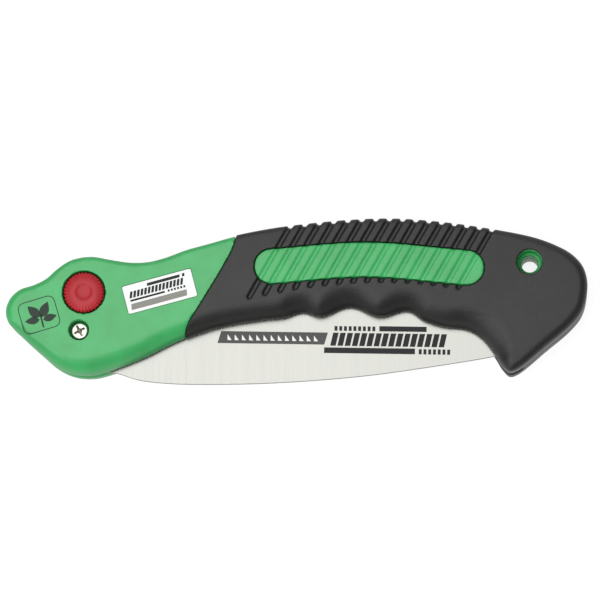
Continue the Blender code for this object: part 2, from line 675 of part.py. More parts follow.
def thrust_washers():
    low = BLADE_THICKNESS / 2 + (BLADE_SIDE_GAP - WASHER_THICKNESS) / 2
    high = low + WASHER_THICKNESS
    inner = BUSH_RADIUS + GAP
    ring("front_thrust_washer", WASHER_RADIUS, inner, low, high, WHITE)
    ring("rear_thrust_washer", WASHER_RADIUS, inner, -high, -low, WHITE)


def body_screws():
    seat = BODY_SCREW_SEAT + GAP
    sizes = (BODY_HEAD_RADIUS, BODY_HEAD_HEIGHT, BODY_SCREW_RADIUS, -BODY_SCREW_BITE)
    for number, at in enumerate(HEADS_OF_BODY_SCREWS, 1):
        pan_head_screw(f"body_screw_{number}", at, seat, *sizes, down=-1, steps=12)


# ---- The lock ---------------------------------------------------------------------------------------------
SPRING_RADIUS = 3.7 * MM
SPRING_ROOM = 0.45 * MM  # radial room beside the spring, in the button's underside
STEM_TOP = BUTTON_CROWN - 1.6 * MM
SPRING_CEILING = BUTTON_CROWN - 1.3 * MM


def lock_button():
    """The red cap: a dished middle, a raised ring, a fluted edge, and room for the spring beneath."""
    hub = SPRING_RADIUS - SPRING_WIRE / 2 - SPRING_ROOM
    pocket = SPRING_RADIUS + SPRING_WIRE / 2 + SPRING_ROOM
    crown = [(0, 0.4), (0.30, 0.3), (0.42, 0), (0.62, 0.1), (0.90, 0.7), (1, 1.4)]
    profile = [(share * BUTTON_RADIUS, BUTTON_CROWN - drop * MM) for share, drop in crown]
    profile += [(BUTTON_RADIUS, BUTTON_UNDERSIDE), (pocket, BUTTON_UNDERSIDE), (pocket, SPRING_CEILING)]
    profile += [(hub, SPRING_CEILING), (hub, BUTTON_UNDERSIDE), (STEM_RADIUS + GAP, BUTTON_UNDERSIDE)]
    profile += [(STEM_RADIUS + GAP, STEM_TOP + GAP), (0, STEM_TOP + GAP)]
    made = baked(turned("lock_button", profile, BUTTON, FLUTES))
    work = bmesh.new()
    for k in range(FLUTES):
        turn = 2 * math.pi * k / FLUTES
        matrix = Matrix.Rotation(turn, 4, "Z") @ Matrix.Translation((1.02 * BUTTON_RADIUS, 0, BUTTON_CROWN))
        bmesh.ops.create_cone(work, cap_ends=True, segments=4, radius1=0.55 * MM, radius2=0.55 * MM,
                              depth=4 * BUTTON_HEIGHT, matrix=matrix)
    mesh = bpy.data.meshes.new("flutes")
    work.to_mesh(mesh)
    work.free()
    cut(made, placed("flutes", mesh, (BUTTON.x, BUTTON.y, 0)))
    return part(made, RED)


def lock_plunger():
    """The steel plunger. Its collar rests just clear of the blade, so that each moves freely."""
    collar_top = -BLADE_THICKNESS / 2 - GAP
    hub = min(0.58 * COLLAR_RADIUS, BUTTON.length - TANG_RADIUS - 1.3 * GAP)
    collar_low = collar_top - COLLAR_HEIGHT
    shoulder = SLOT_SIDE - GAP
    profile = [(0, STEM_TOP), (STEM_RADIUS, STEM_TOP), (STEM_RADIUS, shoulder), (hub, shoulder)]
    profile += [(hub, collar_top), (COLLAR_RADIUS, collar_top), (COLLAR_RADIUS, collar_low), (0, collar_low)]
    return part(turned("lock_plunger", profile, BUTTON, 28), ZINC)


def lock_spring():
    low = WELL_FLOOR + SPRING_WIRE / 2 + GAP
    high = SPRING_CEILING - SPRING_WIRE / 2 - GAP
    curve = bpy.data.curves.new("lock_spring", "CURVE")
    curve.dimensions = "3D"
    curve.bevel_depth = SPRING_WIRE / 2
    curve.bevel_resolution = 2
    curve.use_fill_caps = True
    count = int(SPRING_TURNS * 12)
    spline = curve.splines.new("POLY")
    spline.points.add(count)
    for i, point in enumerate(spline.points):
        turn = 2 * math.pi * SPRING_TURNS * i / count
        height = low + (high - low) * i / count
        point.co = (SPRING_RADIUS * math.cos(turn), SPRING_RADIUS * math.sin(turn), height, 1)
    return part(baked(placed("lock_spring", curve, (BUTTON.x, BUTTON.y, 0))), ZINC)


# ---- Building ---------------------------------------------------------------------------------------------
def lay_down():
    """Moves the pivot's empty so that the box of the whole saw stands on z = 0, over the origin."""
    bpy.context.view_layer.update()
    graph = bpy.context.evaluated_depsgraph_get()
    low, high = Vector((1, 1, 1)), Vector((-1, -1, -1))
    for made in SAW.objects:
        if made.type != "MESH":
            continue
        whole = made.evaluated_get(graph)
        for vertex in whole.data.vertices:
            place = whole.matrix_world @ vertex.co
            low = Vector(map(min, low, place))
            high = Vector(map(max, high, place))
    ROOT.location = (-(low.x + high.x) / 2, -(low.y + high.y) / 2, -low.z)
    bpy.context.view_layer.update()


for leftover in list(bpy.data.objects):
    bpy.data.objects.remove(leftover)

SAW = collection("folding_pruning_saw")
CUTTERS = collection("cutters")
ROOT = bpy.data.objects.new("pivot_frame", None)
SAW.objects.link(ROOT)

GREEN = material("green_nylon", (0.10, 0.48, 0.18), 0.42)
BLACK = material("black_rubber", (0.035, 0.035, 0.033), 0.62)
RED = material("red_plastic", (0.55, 0.02, 0.03), 0.38)
STEEL = material("blade_steel", (0.75, 0.75, 0.73), 0.3, 1.0)
ZINC = material("zinc_plate", (0.72, 0.72, 0.7), 0.25, 1.0)
BRASS = material("bush_brass", (0.72, 0.55, 0.25), 0.3, 1.0)
WHITE = material("washer_acetal", (0.8, 0.8, 0.78), 0.45)
SILVER = material("label_foil", (0.82, 0.83, 0.82), 0.35)

SLOT = blade_slot("blade_slot")

front_shell()
rear_shell()
front_grip()
rear_grip()
name_label()
blade()
pivot_screw()
pivot_nut()
nut_washer()
pivot_bush()
thrust_washers()
body_screws()
lock_button()
lock_plunger()
lock_spring()
lay_down()
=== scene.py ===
"""The looks of a folding pruning saw, folded and lying on its far side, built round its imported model.

The CAD model fixes where everything is. This script lays finer pieces over it, from the handle to the
hardware, then stages them on a white sweep under soft studio light.
"""

import math

import bmesh
import bpy
from mathutils import Matrix, Vector


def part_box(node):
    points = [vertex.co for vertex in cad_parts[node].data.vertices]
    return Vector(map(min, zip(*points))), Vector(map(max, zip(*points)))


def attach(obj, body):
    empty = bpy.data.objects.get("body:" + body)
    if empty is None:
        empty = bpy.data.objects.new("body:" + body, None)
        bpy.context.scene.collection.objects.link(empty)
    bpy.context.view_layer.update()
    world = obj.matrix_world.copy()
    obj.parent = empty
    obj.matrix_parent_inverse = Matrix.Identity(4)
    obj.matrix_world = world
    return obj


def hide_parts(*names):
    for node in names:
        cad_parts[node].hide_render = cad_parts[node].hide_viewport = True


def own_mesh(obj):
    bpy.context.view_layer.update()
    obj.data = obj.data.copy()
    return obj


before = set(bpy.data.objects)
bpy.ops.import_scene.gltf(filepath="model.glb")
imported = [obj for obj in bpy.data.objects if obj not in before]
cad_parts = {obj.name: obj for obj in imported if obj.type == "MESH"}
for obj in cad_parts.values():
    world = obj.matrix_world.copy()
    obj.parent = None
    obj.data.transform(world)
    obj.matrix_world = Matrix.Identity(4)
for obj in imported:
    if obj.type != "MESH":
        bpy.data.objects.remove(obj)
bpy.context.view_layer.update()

MM = 0.001

# ---- Handle halves: the moulded form ----------------------------------------------------------------------
# Each half is a glass-filled nylon shell with a soft rubber grip moulded over it. Both follow one
# outline, which is given from the pivot. The third value of each point is the width of the rounded edge
# there: wide on the finger side, tight along the spine.

PIVOT = (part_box("pivot_screw")[0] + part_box("pivot_screw")[1]) / 2
PIVOT.z = (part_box("blade")[0].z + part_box("blade")[1].z) / 2
GRIP_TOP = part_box("front_grip")[1].z - PIVOT.z
HEAD_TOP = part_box("label")[1].z - PIVOT.z
MEETING_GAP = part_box("front_shell")[0].z - PIVOT.z
BLADE_HALF = (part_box("blade")[1].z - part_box("blade")[0].z) / 2

GRIP_START = 42.0 * MM
GRIP_LENGTH = 123.0 * MM
TAIL_START = GRIP_START + GRIP_LENGTH
RUBBER = 2.0 * MM
RUBBER_LIP = 0.3 * MM  # how far the rubber stands proud of the head round the edge
SLOT_SIDE = BLADE_HALF + 1.7 * MM
FAR_EDGE = 4.5 * MM  # widest rounding round the far half, which is fuller than the near one
CROWN = 0.8 * MM  # how far the faces of the grip fall away from their middle line to their edges
BLADE_REACH = 177.0 * MM
SLOT_TOP = 15.2 * MM
OVER = 4.0 * MM

HEAD_LOWER = (
    (-30.3, 8.2, 3.5), (-29.2, 3.4, 4), (-25.0, -0.9, 5), (-16.1, -8.9, 6.5), (-9.5, -14.3, 7.5),
    (-3.0, -17.2, 8), (4.5, -17.8, 8.5), (11.2, -16.3, 8.5), (26.6, -10.2, 8), (35.8, -5.5, 8),
)
GRIP_LOWER = (
    (0.010, -2.2, 7.5), (0.110, 2.0, 7.5), (0.255, 5.1, 7), (0.325, 6.0, 7.5), (0.385, 8.1, 9.5),
    (0.443, 6.4, 6.5), (0.540, 10.3, 10.5), (0.634, 6.4, 6.5), (0.730, 8.7, 10), (0.780, 4.9, 8.5),
    (0.845, 2.4, 8), (0.920, 1.2, 10),
)
TAIL = (
    (-5.2, -1.2, 10.5), (-1.7, -4.6, 10), (1.9, -9.6, 8), (4.4, -13.7, 5), (7.4, -16.3, 3), (10.6, -15.3, 3),
    (22.2, -5.8, 3.5), (31.6, 2.3, 3.5), (36.2, 8.2, 3.5), (38.1, 15.0, 3.5), (38.2, 20.8, 3.5),
    (36.3, 26.5, 3.5), (31.8, 31.3, 3.5), (25.6, 34.7, 3.2), (17.0, 37.8, 2.8),
)
GRIP_UPPER = (
    (0.990, 41.4, 2.2), (0.830, 44.2, 2.2), (0.680, 45.5, 2.2), (0.540, 45.0, 2.2), (0.400, 43.4, 2.2),
    (0.280, 41.4, 2.2), (0.170, 38.7, 2.2), (0.080, 35.6, 2.2),
)
HEAD_UPPER = (
    (42.0, 32.8, 2.2), (34.0, 29.8, 2.2), (27.0, 28.1, 2.2), (20.0, 27.9, 2.2), (13.0, 28.9, 2.2),
    (4.0, 30.3, 2.2), (-4.0, 28.8, 2.2), (-9.5, 25.3, 2.4), (-14.0, 21.3, 2.6), (-19.0, 18.8, 2.8),
    (-24.5, 17.0, 3), (-28.5, 13.3, 3.2),
)
SEAM = (
    (21.3, 49), (20.6, 40), (19.7, 34.5), (15.4, 25.7), (9.2, 15.1), (5.4, 8.8), (2.2, 3.6), (0.4, -1.5),
    (0, -9),
)
SPINE = (
    (0.023, -14.4), (0.050, -15.3), (0.085, -16.3), (0.132, -18.9), (0.205, -20.3), (0.300, -20.6),
    (0.410, -20.2), (0.520, -19.1), (0.650, -17.0), (0.780, -13.8), (0.900, -10.4), (0.960, -8.4),
)
PAD_LINE = ((0.287, 25.8), (0.595, 28.5), (0.920, 25.2))
PAD_HALF_WIDTH = 6.9 * MM
HANG_HOLE_RADIUS = 3.3 * MM
HANG_HOLE = Vector((TAIL_START + 15.3 * MM, 27.6 * MM))
GROOVES = 16
GROOVE_PITCH = 5.43 * MM
GROOVE_WIDTH = 1.9 * MM
GROOVE_DEPTH = 0.95 * MM
PAD_GROOVE_DEPTH = 0.5 * MM
GROOVE_ANGLE = math.radians(60.7)


def grip_x(share):
    return GRIP_START + share * GRIP_LENGTH


def only(piece):
    """Makes one object the only one selected, and the active one."""
    bpy.ops.object.select_all(action="DESELECT")
    piece.select_set(True)
    bpy.context.view_layer.objects.active = piece
    return piece


def smooth_line(points, spacing, closed=True):
    """Points about a spacing apart on a centripetal Catmull-Rom curve through all the given ones."""
    points = [Vector(p) for p in points]
    count = len(points)
    found = []
    for i in range(count if closed else count - 1):
        if closed:
            p0, p1, p2, p3 = (points[(i + k - 1) % count] for k in range(4))
        else:
            p1, p2 = points[i], points[i + 1]
            p0 = points[i - 1] if i else p1 + (p1 - p2)
            p3 = points[i + 2] if i + 2 < count else p2 + (p2 - p1)
        t1 = (p1 - p0).length ** 0.5
        t2 = t1 + (p2 - p1).length ** 0.5
        t3 = t2 + (p3 - p2).length ** 0.5
        steps = max(1, round((p2 - p1).length / spacing))
        for k in range(steps):
            t = t1 + (t2 - t1) * k / steps
            a1 = p0.lerp(p1, t / t1)
            a2 = p1.lerp(p2, (t - t1) / (t2 - t1))
            a3 = p2.lerp(p3, (t - t2) / (t3 - t2))
            b1 = a1.lerp(a2, t / t2)
            b2 = a2.lerp(a3, (t - t1) / (t3 - t1))
            found.append(b1.lerp(b2, (t - t1) / (t2 - t1)))
    if not closed:
        found.append(points[-1])
    return found


def arc(radius, sides, at=(0, 0), start=0.0, end=2 * math.pi):
    """Points round an arc, the last one left out on a full circle."""
    full = abs(end - start) >= 2 * math.pi - 1e-6
    turns = [start + (end - start) * i / sides for i in range(sides if full else sides + 1)]
    return [(at[0] + radius * math.cos(a), at[1] + radius * math.sin(a)) for a in turns]


def new_piece(name, work):
    """Turns a bmesh laid out from the pivot into an object at the origin, its place held in its mesh."""
    mesh = bpy.data.meshes.new(name)
    work.to_mesh(mesh)
    work.free()
    mesh.transform(Matrix.Translation(PIVOT))
    piece = bpy.data.objects.new(name, mesh)
    bpy.context.scene.collection.objects.link(piece)
    return only(piece)


def prism(name, outline, low, high):
    """A flat outline, anticlockwise, thickened from low to high."""
    work = bmesh.new()
    face = work.faces.new([work.verts.new((x, y, high)) for x, y in outline])
    made = bmesh.ops.extrude_face_region(work, geom=[face])
    lowered = [v for v in made["geom"] if isinstance(v, bmesh.types.BMVert)]
    bmesh.ops.translate(work, verts=lowered, vec=(0, 0, low - high))
    bmesh.ops.recalc_face_normals(work, faces=work.faces)
    return new_piece(name, work)


def drum(name, radius, low, high, at=(0, 0), sides=96):
    """A cylinder from low to high, at a place given from the pivot."""
    place = PIVOT + Vector((at[0], at[1], (low + high) / 2))
    bpy.ops.mesh.primitive_cylinder_add(vertices=sides, radius=radius, depth=high - low, location=place)
    made = bpy.context.active_object
    made.name = name
    bpy.ops.object.transform_apply()
    return made


def combine(target, operation, *others):
    """Joins or cuts a piece with each of the others, which are used up."""
    for other in others:
        modifier = target.modifiers.new(operation.lower(), "BOOLEAN")
        modifier.operation = operation
        modifier.solver = "MANIFOLD"
        modifier.object = other
        only(target)
        bpy.ops.object.modifier_apply(modifier=modifier.name)
        bpy.data.objects.remove(other)
    return target


def half_form(name, inset, top, low=0.0, widest=math.inf):
    """Half a handle, set in from the outline and standing from low to top, with its upper edge rounded.

    The rounding is wider in some places than in others, so it is a loft between rings of unlike spacing.
    """
    spacing, steps = 1.2 * MM, 9
    points = [Vector((x, y, w)) * MM for x, y, w in HEAD_LOWER]
    points += [Vector((grip_x(s), y * MM, w * MM)) for s, y, w in GRIP_LOWER]
    points += [Vector((TAIL_START + x * MM, y * MM, w * MM)) for x, y, w in TAIL]
    points += [Vector((grip_x(s), y * MM, w * MM)) for s, y, w in GRIP_UPPER]
    points += [Vector((x, y, w)) * MM for x, y, w in HEAD_UPPER]
    outline = smooth_line(points, spacing)
    count = len(outline)
    runs = [outline[(i + 1) % count].xy - outline[i - 1].xy for i in range(count)]
    inwards = [Vector((-run.y, run.x)).normalized() for run in runs]
    work = bmesh.new()
    loops = []
    for step in range(-1, steps + 1):
        turn = max(0, step) / steps * math.pi / 2
        loop = []
        for point, inward in zip(outline, inwards):
            edge = min(point.z, widest)
            across = inset + (edge - inset) * (1 - math.cos(turn))
            up = low if step < 0 else top - min(edge, 0.75 * top) * (1 - math.sin(turn))
            loop.append(work.verts.new((*(point.xy + inward * across), up)))
        loops.append(loop)
    for lower, upper in zip(loops, loops[1:]):
        for i in range(count):
            j = (i + 1) % count
            work.faces.new((lower[i], lower[j], upper[j], upper[i]))
    work.faces.new(loops[-1])
    work.faces.new(reversed(loops[0]))
    bmesh.ops.recalc_face_normals(work, faces=work.faces)
    return new_piece(name, work)


def seam_side(towards_tail, shift=0.0):
    """A block that covers everything on one side of the seam between the green head and the black grip."""
    line = smooth_line([(GRIP_START + x * MM + shift, y * MM) for x, y in SEAM], 1.5 * MM, closed=False)
    far_x = BLADE_REACH + 100 * MM if towards_tail else -100 * MM
    low, high = line[-1].y - 40 * MM, line[0].y + 40 * MM
    corners = [(line[-1].x, low), (far_x, low), (far_x, high), (line[0].x, high)]
    return prism("seam_side", [tuple(p) for p in line] + corners, -OVER, GRIP_TOP + OVER)


def pad_outline(grow=0.0):
    """The green pad in the grip: a band of even width along its middle line, with round ends."""
    line = smooth_line([(grip_x(s), y * MM) for s, y in PAD_LINE], 3 * MM, closed=False)
    radius = PAD_HALF_WIDTH + grow
    ends = []
    for tip, inner in ((line[-1], line[-2]), (line[0], line[1])):
        heading = math.atan2((tip - inner).y, (tip - inner).x)
        ends.append(arc(radius, 24, tip, heading - math.pi / 2, heading + math.pi / 2))
    sides = []
    for i in range(1, len(line) - 1):
        run = (line[i + 1] - line[i - 1]).normalized()
        sides.append(Vector((-run.y, run.x)) * radius)
    upper = [tuple(p + side) for p, side in zip(line[1:-1], sides)]
    lower = [tuple(p - side) for p, side in zip(line[1:-1], sides)]
    return lower + ends[0] + upper[::-1] + ends[1]


def spine_points(spacing):
    return smooth_line([(s * BLADE_REACH, y * MM) for s, y in SPINE], spacing, closed=False)


def blade_slot():
    """The room between the halves for the whole sweep of the blade, from folded to open."""
    reach = BLADE_REACH + 1.2 * MM
    line = arc(reach, 60, (0, 0), -0.35, math.asin(SLOT_TOP / reach))
    spine = [p for p in spine_points(4 * MM) if p.x < 90 * MM]
    line.append((-spine[0].x, SLOT_TOP))
    line += [(-p.x, -p.y + 1.2 * MM) for p in spine]
    line += [(-60 * MM, line[-1][1]), (-60 * MM, -60 * MM), (line[0][0], -60 * MM)]
    return prism("blade_slot", line, -OVER, SLOT_SIDE)


def grooves(depth, widest):
    """The slanting grooves with their round lower ends, cut to an even depth below the rounded surface."""
    along = Vector((math.cos(GROOVE_ANGLE), math.sin(GROOVE_ANGLE)))
    made = None
    for k in range(GROOVES):
        crest = Vector((grip_x(0.345) + k * GROOVE_PITCH, 42.0 * MM))
        foot_at = crest.x - (crest.y - 19 * MM) / math.tan(GROOVE_ANGLE)
        foot_y = 19 * MM - (foot_at - grip_x(0.642)) ** 2 / (2 * 185 * MM) + GROOVE_WIDTH / 2
        foot = crest - along * (crest.y - foot_y) / along.y
        end = arc(GROOVE_WIDTH / 2, 12, foot, GROOVE_ANGLE + math.pi / 2, GROOVE_ANGLE + 3 * math.pi / 2)
        far = [tuple(Vector(p) + along * 36 * MM) for p in (end[-1], end[0])]
        slab = prism("groove", end + far, -OVER, GRIP_TOP + OVER)
        made = slab if made is None else combine(made, "UNION", slab)
    return combine(made, "DIFFERENCE", half_form("groove_floor", depth, GRIP_TOP - depth, -2 * OVER, widest))


def moulded(piece, voxel, rounds):
    """Rounds the sharp edges that cuts leave to a moulding's: a fine remesh, then a light smoothing."""
    only(piece)
    remesh = piece.modifiers.new("remesh", "REMESH")
    remesh.mode = "VOXEL"
    remesh.voxel_size = voxel
    bpy.ops.object.modifier_apply(modifier=remesh.name)
    relax = piece.modifiers.new("relax", "SMOOTH")
    relax.factor = 0.5
    relax.iterations = rounds
    bpy.ops.object.modifier_apply(modifier=relax.name)
    bpy.ops.object.shade_smooth()
    return piece


def turned_over(piece):
    """Mirrors a piece through the meeting plane, so that it belongs to the far side."""
    flip = Matrix.Translation(PIVOT) @ Matrix.Diagonal((1, 1, -1, 1)) @ Matrix.Translation(-PIVOT)
    piece.data.transform(flip)
    piece.data.flip_normals()
    return piece


def crowned(piece):
    """Lets the faces of the grip fall away gently from their middle line, and leaves the head flat."""
    start, end = GRIP_START + 6 * MM, GRIP_START + 32 * MM
    for vertex in piece.data.vertices:
        place = vertex.co - PIVOT
        share = (place.x - grip_x(0.6)) / (0.6 * GRIP_LENGTH)
        off_line = (place.y - 28 * MM + 4 * MM * share * share) / (19 * MM)
        ramp = min(1, max(0, (place.x - start) / (end - start)))
        drop = CROWN * min(1.2, off_line * off_line) * ramp * ramp * (3 - 2 * ramp)
        vertex.co.z -= drop * place.z / GRIP_TOP
    return piece


# ---- Half shells ------------------------------------------------------------------------------------------
# Injection-moulded glass-filled nylon, dyed green right through, with a fine spark-eroded texture. The
# near half has the wells for the button and the pivot screw and a shallow seat for the label; the far
# half has the nut's pocket and the counterbores of the four screws that clamp the halves.

button_low, button_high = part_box("lock_button")
BUTTON = ((button_low + button_high) / 2 - PIVOT).xy
BUTTON_RADIUS = (button_high.x - button_low.x) / 2
BUTTON_FLOOR = button_low.z - PIVOT.z - 3.6 * MM
LABEL_LENGTH = 28.4 * MM
LABEL_WIDTH = 11.4 * MM
LABEL_TURN = math.radians(15.3)
LABEL = Vector((32.3 * MM, 15.6 * MM))
SHELL_VOXEL = 0.45 * MM


def hex_colour(code):
    """An sRGB hex code as linear red, green, blue and alpha."""
    channels = [int(code[i : i + 2], 16) / 255 for i in (1, 3, 5)]
    return tuple(c / 12.92 if c <= 0.04045 else ((c + 0.055) / 1.055) ** 2.4 for c in channels) + (1.0,)


def node(tree, kind, inputs=None, **settings):
    """Adds a shader node. Settings are its properties; inputs its sockets, each a value or an output."""
    made = tree.nodes.new("ShaderNode" + kind)
    for name, value in settings.items():
        setattr(made, name, value)
    for name, value in (inputs or {}).items():
        if isinstance(value, bpy.types.NodeSocket):
            tree.links.new(value, made.inputs[name])
        else:
            made.inputs[name].default_value = value
    return made


def material(name, **values):
    """A new material with its shader's plain values set. Returns it, its node tree and its shader."""
    made = bpy.data.materials.new(name)
    made.use_nodes = True
    shader = made.node_tree.nodes["Principled BSDF"]
    for socket, value in values.items():
        shader.inputs[socket.replace("_", " ")].default_value = value
    return made, made.node_tree, shader


def rounded_rectangle(length, width, radius, centre=(0, 0), turn=0.0, sides=8):
    corners = ((1, 1, 0), (-1, 1, 1), (-1, -1, 2), (1, -1, 3))
    points = []
    for sx, sy, quarter in corners:
        middle = (sx * (length / 2 - radius), sy * (width / 2 - radius))
        points += arc(radius, sides, middle, quarter * math.pi / 2, (quarter + 1) * math.pi / 2)
    rotation = Matrix.Rotation(turn, 2)
    return [tuple(rotation @ Vector(p) + Vector(centre)) for p in points]


def moulded_nylon():
    """Glass-filled nylon off an eroded tool: satin, with a fine grain and a faintly cloudy dye."""
    made, tree, shader = material("moulded_nylon_green", Roughness=0.42, IOR=1.66)
    place = node(tree, "TexCoord").outputs["Object"]
    cloud = node(tree, "TexNoise", {"Vector": place, "Scale": 90.0, "Detail": 3.0, "Roughness": 0.6})
    tint = node(tree, "ValToRGB", {"Fac": cloud.outputs["Fac"]})
    tint.color_ramp.elements[0].position = 0.35
    tint.color_ramp.elements[0].color = hex_colour("#2A9C50")
    tint.color_ramp.elements[1].position = 0.68
    tint.color_ramp.elements[1].color = hex_colour("#2EA859")
    grain = node(tree, "TexNoise", {"Vector": place, "Scale": 2600.0, "Detail": 2.0, "Roughness": 0.7})
    sheen = node(tree, "MapRange", {"Value": grain.outputs["Fac"], "To Min": 0.36, "To Max": 0.5})
    bump = node(tree, "Bump", {"Height": grain.outputs["Fac"], "Strength": 0.12, "Distance": 0.00008})
    tree.links.new(tint.outputs["Color"], shader.inputs["Base Color"])
    tree.links.new(sheen.outputs["Result"], shader.inputs["Roughness"])
    tree.links.new(bump.outputs["Normal"], shader.inputs["Normal"])
    return made


def finished(piece, finish, body, cad_node=None):
    """Gives a piece its one material, hides the CAD node it stands for, if any, and lets it ride on its body.
    """
    piece.data.materials.clear()
    piece.data.materials.append(finish)
    if cad_node:
        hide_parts(cad_node)
    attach(piece, body)
    return piece


NYLON = moulded_nylon()


def half_shell(name, widest=math.inf):
    """What the near and the far half shell have in common, standing on the meeting plane."""
    shell = half_form(name, RUBBER_LIP, HEAD_TOP, MEETING_GAP, widest)
    combine(shell, "DIFFERENCE", seam_side(True))
    core = half_form("core", RUBBER + 0.3 * MM, GRIP_TOP - RUBBER - 0.3 * MM, MEETING_GAP, widest)
    pad = prism("pad", pad_outline(), GRIP_TOP - 4 * MM, GRIP_TOP)
    combine(shell, "UNION", core, pad)
    hang_bore = drum("hang_bore", HANG_HOLE_RADIUS, -OVER, GRIP_TOP + OVER, HANG_HOLE)
    screw_way = drum("screw_way", 2.3 * MM, -OVER, HEAD_TOP + OVER)
    return combine(shell, "DIFFERENCE", blade_slot(), grooves(PAD_GROOVE_DEPTH, widest), hang_bore, screw_way)


near_shell = half_shell("near_half_shell")
far_shell = turned_over(half_shell("far_half_shell", FAR_EDGE))

well = drum("well", BUTTON_RADIUS + 0.45 * MM, BUTTON_FLOOR, HEAD_TOP + OVER, BUTTON, 128)
stem_way = drum("stem_way", 2.3 * MM, -OVER, HEAD_TOP, BUTTON)
hub_room = drum("hub_room", 5.3 * MM, -OVER, SLOT_SIDE, BUTTON)
screw_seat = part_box("pivot_screw")[1].z - PIVOT.z - 2.5 * MM
screw_well = drum("screw_well", 4.1 * MM, screw_seat, HEAD_TOP + OVER)
hang_recess = drum("hang_recess", 4.8 * MM, 5.0 * MM, GRIP_TOP + OVER, HANG_HOLE)
combine(near_shell, "DIFFERENCE", well, stem_way, hub_room, screw_well, hang_recess)

collar_bore = drum("collar_bore", 5.4 * MM, -7.0 * MM, OVER, BUTTON)
nut_low, nut_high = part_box("pivot_nut")
pocket_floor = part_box("nut_washer")[1].z - PIVOT.z + 0.3 * MM
nut_pocket = drum("nut_pocket", 4.35 * MM, -HEAD_TOP - OVER, pocket_floor, sides=6)
combine(far_shell, "DIFFERENCE", collar_bore, nut_pocket)
body_screw_places = []
for number in range(1, 5):
    low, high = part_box(f"body_screw_{number}")
    at = ((low + high) / 2 - PIVOT).xy
    body_screw_places.append(at)
    seat = low.z - PIVOT.z + 2.1 * MM
    counterbore = drum("counterbore", 3.5 * MM, -GRIP_TOP - OVER, seat, at)
    combine(far_shell, "DIFFERENCE", counterbore)

for piece, cad_node in ((near_shell, "front_shell"), (far_shell, "rear_shell")):
    crowned(moulded(piece, SHELL_VOXEL, 3))
    finished(piece, NYLON, "handle", cad_node)

seat_outline = rounded_rectangle(LABEL_LENGTH + 0.6 * MM, LABEL_WIDTH + 0.6 * MM, 0.9 * MM, LABEL, LABEL_TURN)
combine(near_shell, "DIFFERENCE", prism("label_seat", seat_outline, HEAD_TOP - 0.6 * MM, HEAD_TOP + OVER))
only(near_shell)
bpy.ops.object.shade_smooth_by_angle(angle=math.radians(40))

# ---- Grips ------------------------------------------------------------------------------------------------
# Thermoplastic rubber moulded over each half shell, matt black with a fine leathery grain. It wraps the
# tail and stops at the slanting seam; the green pad shows through its window, and 16 grooves cross both.


def moulded_rubber():
    """Soft black rubber off a grained tool, a little glossier in some patches than in others."""
    made, tree, shader = material("overmoulded_rubber_black", Roughness=0.6, IOR=1.54)
    place = node(tree, "TexCoord").outputs["Object"]
    cloud = node(tree, "TexNoise", {"Vector": place, "Scale": 60.0, "Detail": 4.0, "Roughness": 0.65})
    tint = node(tree, "ValToRGB", {"Fac": cloud.outputs["Fac"]})
    tint.color_ramp.elements[0].position = 0.3
    tint.color_ramp.elements[0].color = hex_colour("#121311")
    tint.color_ramp.elements[1].position = 0.75
    tint.color_ramp.elements[1].color = hex_colour("#191A18")
    grain = node(tree, "TexVoronoi", {"Vector": place, "Scale": 2200.0}, feature="SMOOTH_F1")
    fine = node(tree, "TexNoise", {"Vector": place, "Scale": 5200.0, "Detail": 2.0})
    height = node(tree, "Math", {0: grain.outputs["Distance"], 1: fine.outputs["Fac"]}, operation="ADD")
    sheen = node(tree, "MapRange", {"Value": cloud.outputs["Fac"], "To Min": 0.4, "To Max": 0.6})
    bump = node(tree, "Bump", {"Height": height.outputs["Value"], "Strength": 0.5, "Distance": 0.00008})
    tree.links.new(tint.outputs["Color"], shader.inputs["Base Color"])
    tree.links.new(sheen.outputs["Result"], shader.inputs["Roughness"])
    tree.links.new(bump.outputs["Normal"], shader.inputs["Normal"])
    return made


RUBBER_BLACK = moulded_rubber()


def half_grip(name, widest=math.inf):
    """One grip, standing on the meeting plane."""
    grip = half_form(name, 0, GRIP_TOP, MEETING_GAP, widest)
    inside = half_form("grip_inside", RUBBER, GRIP_TOP - RUBBER, -OVER, widest)
    window = prism("window", pad_outline(0.3 * MM), -OVER, GRIP_TOP + OVER)
    opening = drum("hang_opening", 5.0 * MM, -OVER, GRIP_TOP + OVER, HANG_HOLE)
    seam = seam_side(False, 0.3 * MM)
    slot = blade_slot()
    furrows = grooves(GROOVE_DEPTH, widest)
    return combine(grip, "DIFFERENCE", seam, inside, slot, window, furrows, opening)


near_grip = half_grip("near_grip")
far_grip = turned_over(half_grip("far_grip", FAR_EDGE))
tail_counterbore = drum("tail_counterbore", 3.8 * MM, -GRIP_TOP - OVER, 0, body_screw_places[-1])
combine(far_grip, "DIFFERENCE", tail_counterbore)

for piece, cad_node in ((near_grip, "front_grip"), (far_grip, "rear_grip")):
    crowned(moulded(piece, 0.42 * MM, 3))
    finished(piece, RUBBER_BLACK, "handle", cad_node)

# ---- Blade ------------------------------------------------------------------------------------------------
# Hardened carbon steel strip, ground flat across its length, so the grinding lines run from back to
# teeth. Each tooth is ground to a point from both sides and set a little to one side, every other one the
# other way.

TOOTH_LINE = 14.0 * MM
TOOTH_PITCH = 4.0 * MM
TOOTH_DEPTH = 3.0 * MM
HEEL = 24.0 * MM
TANG_RADIUS = 12.0 * MM
NOTCH_RADIUS = 5.3 * MM
NOSE = ((0.988, -4.6), (1.000, 1.0), (0.992, 7.0), (0.976, 11.2))


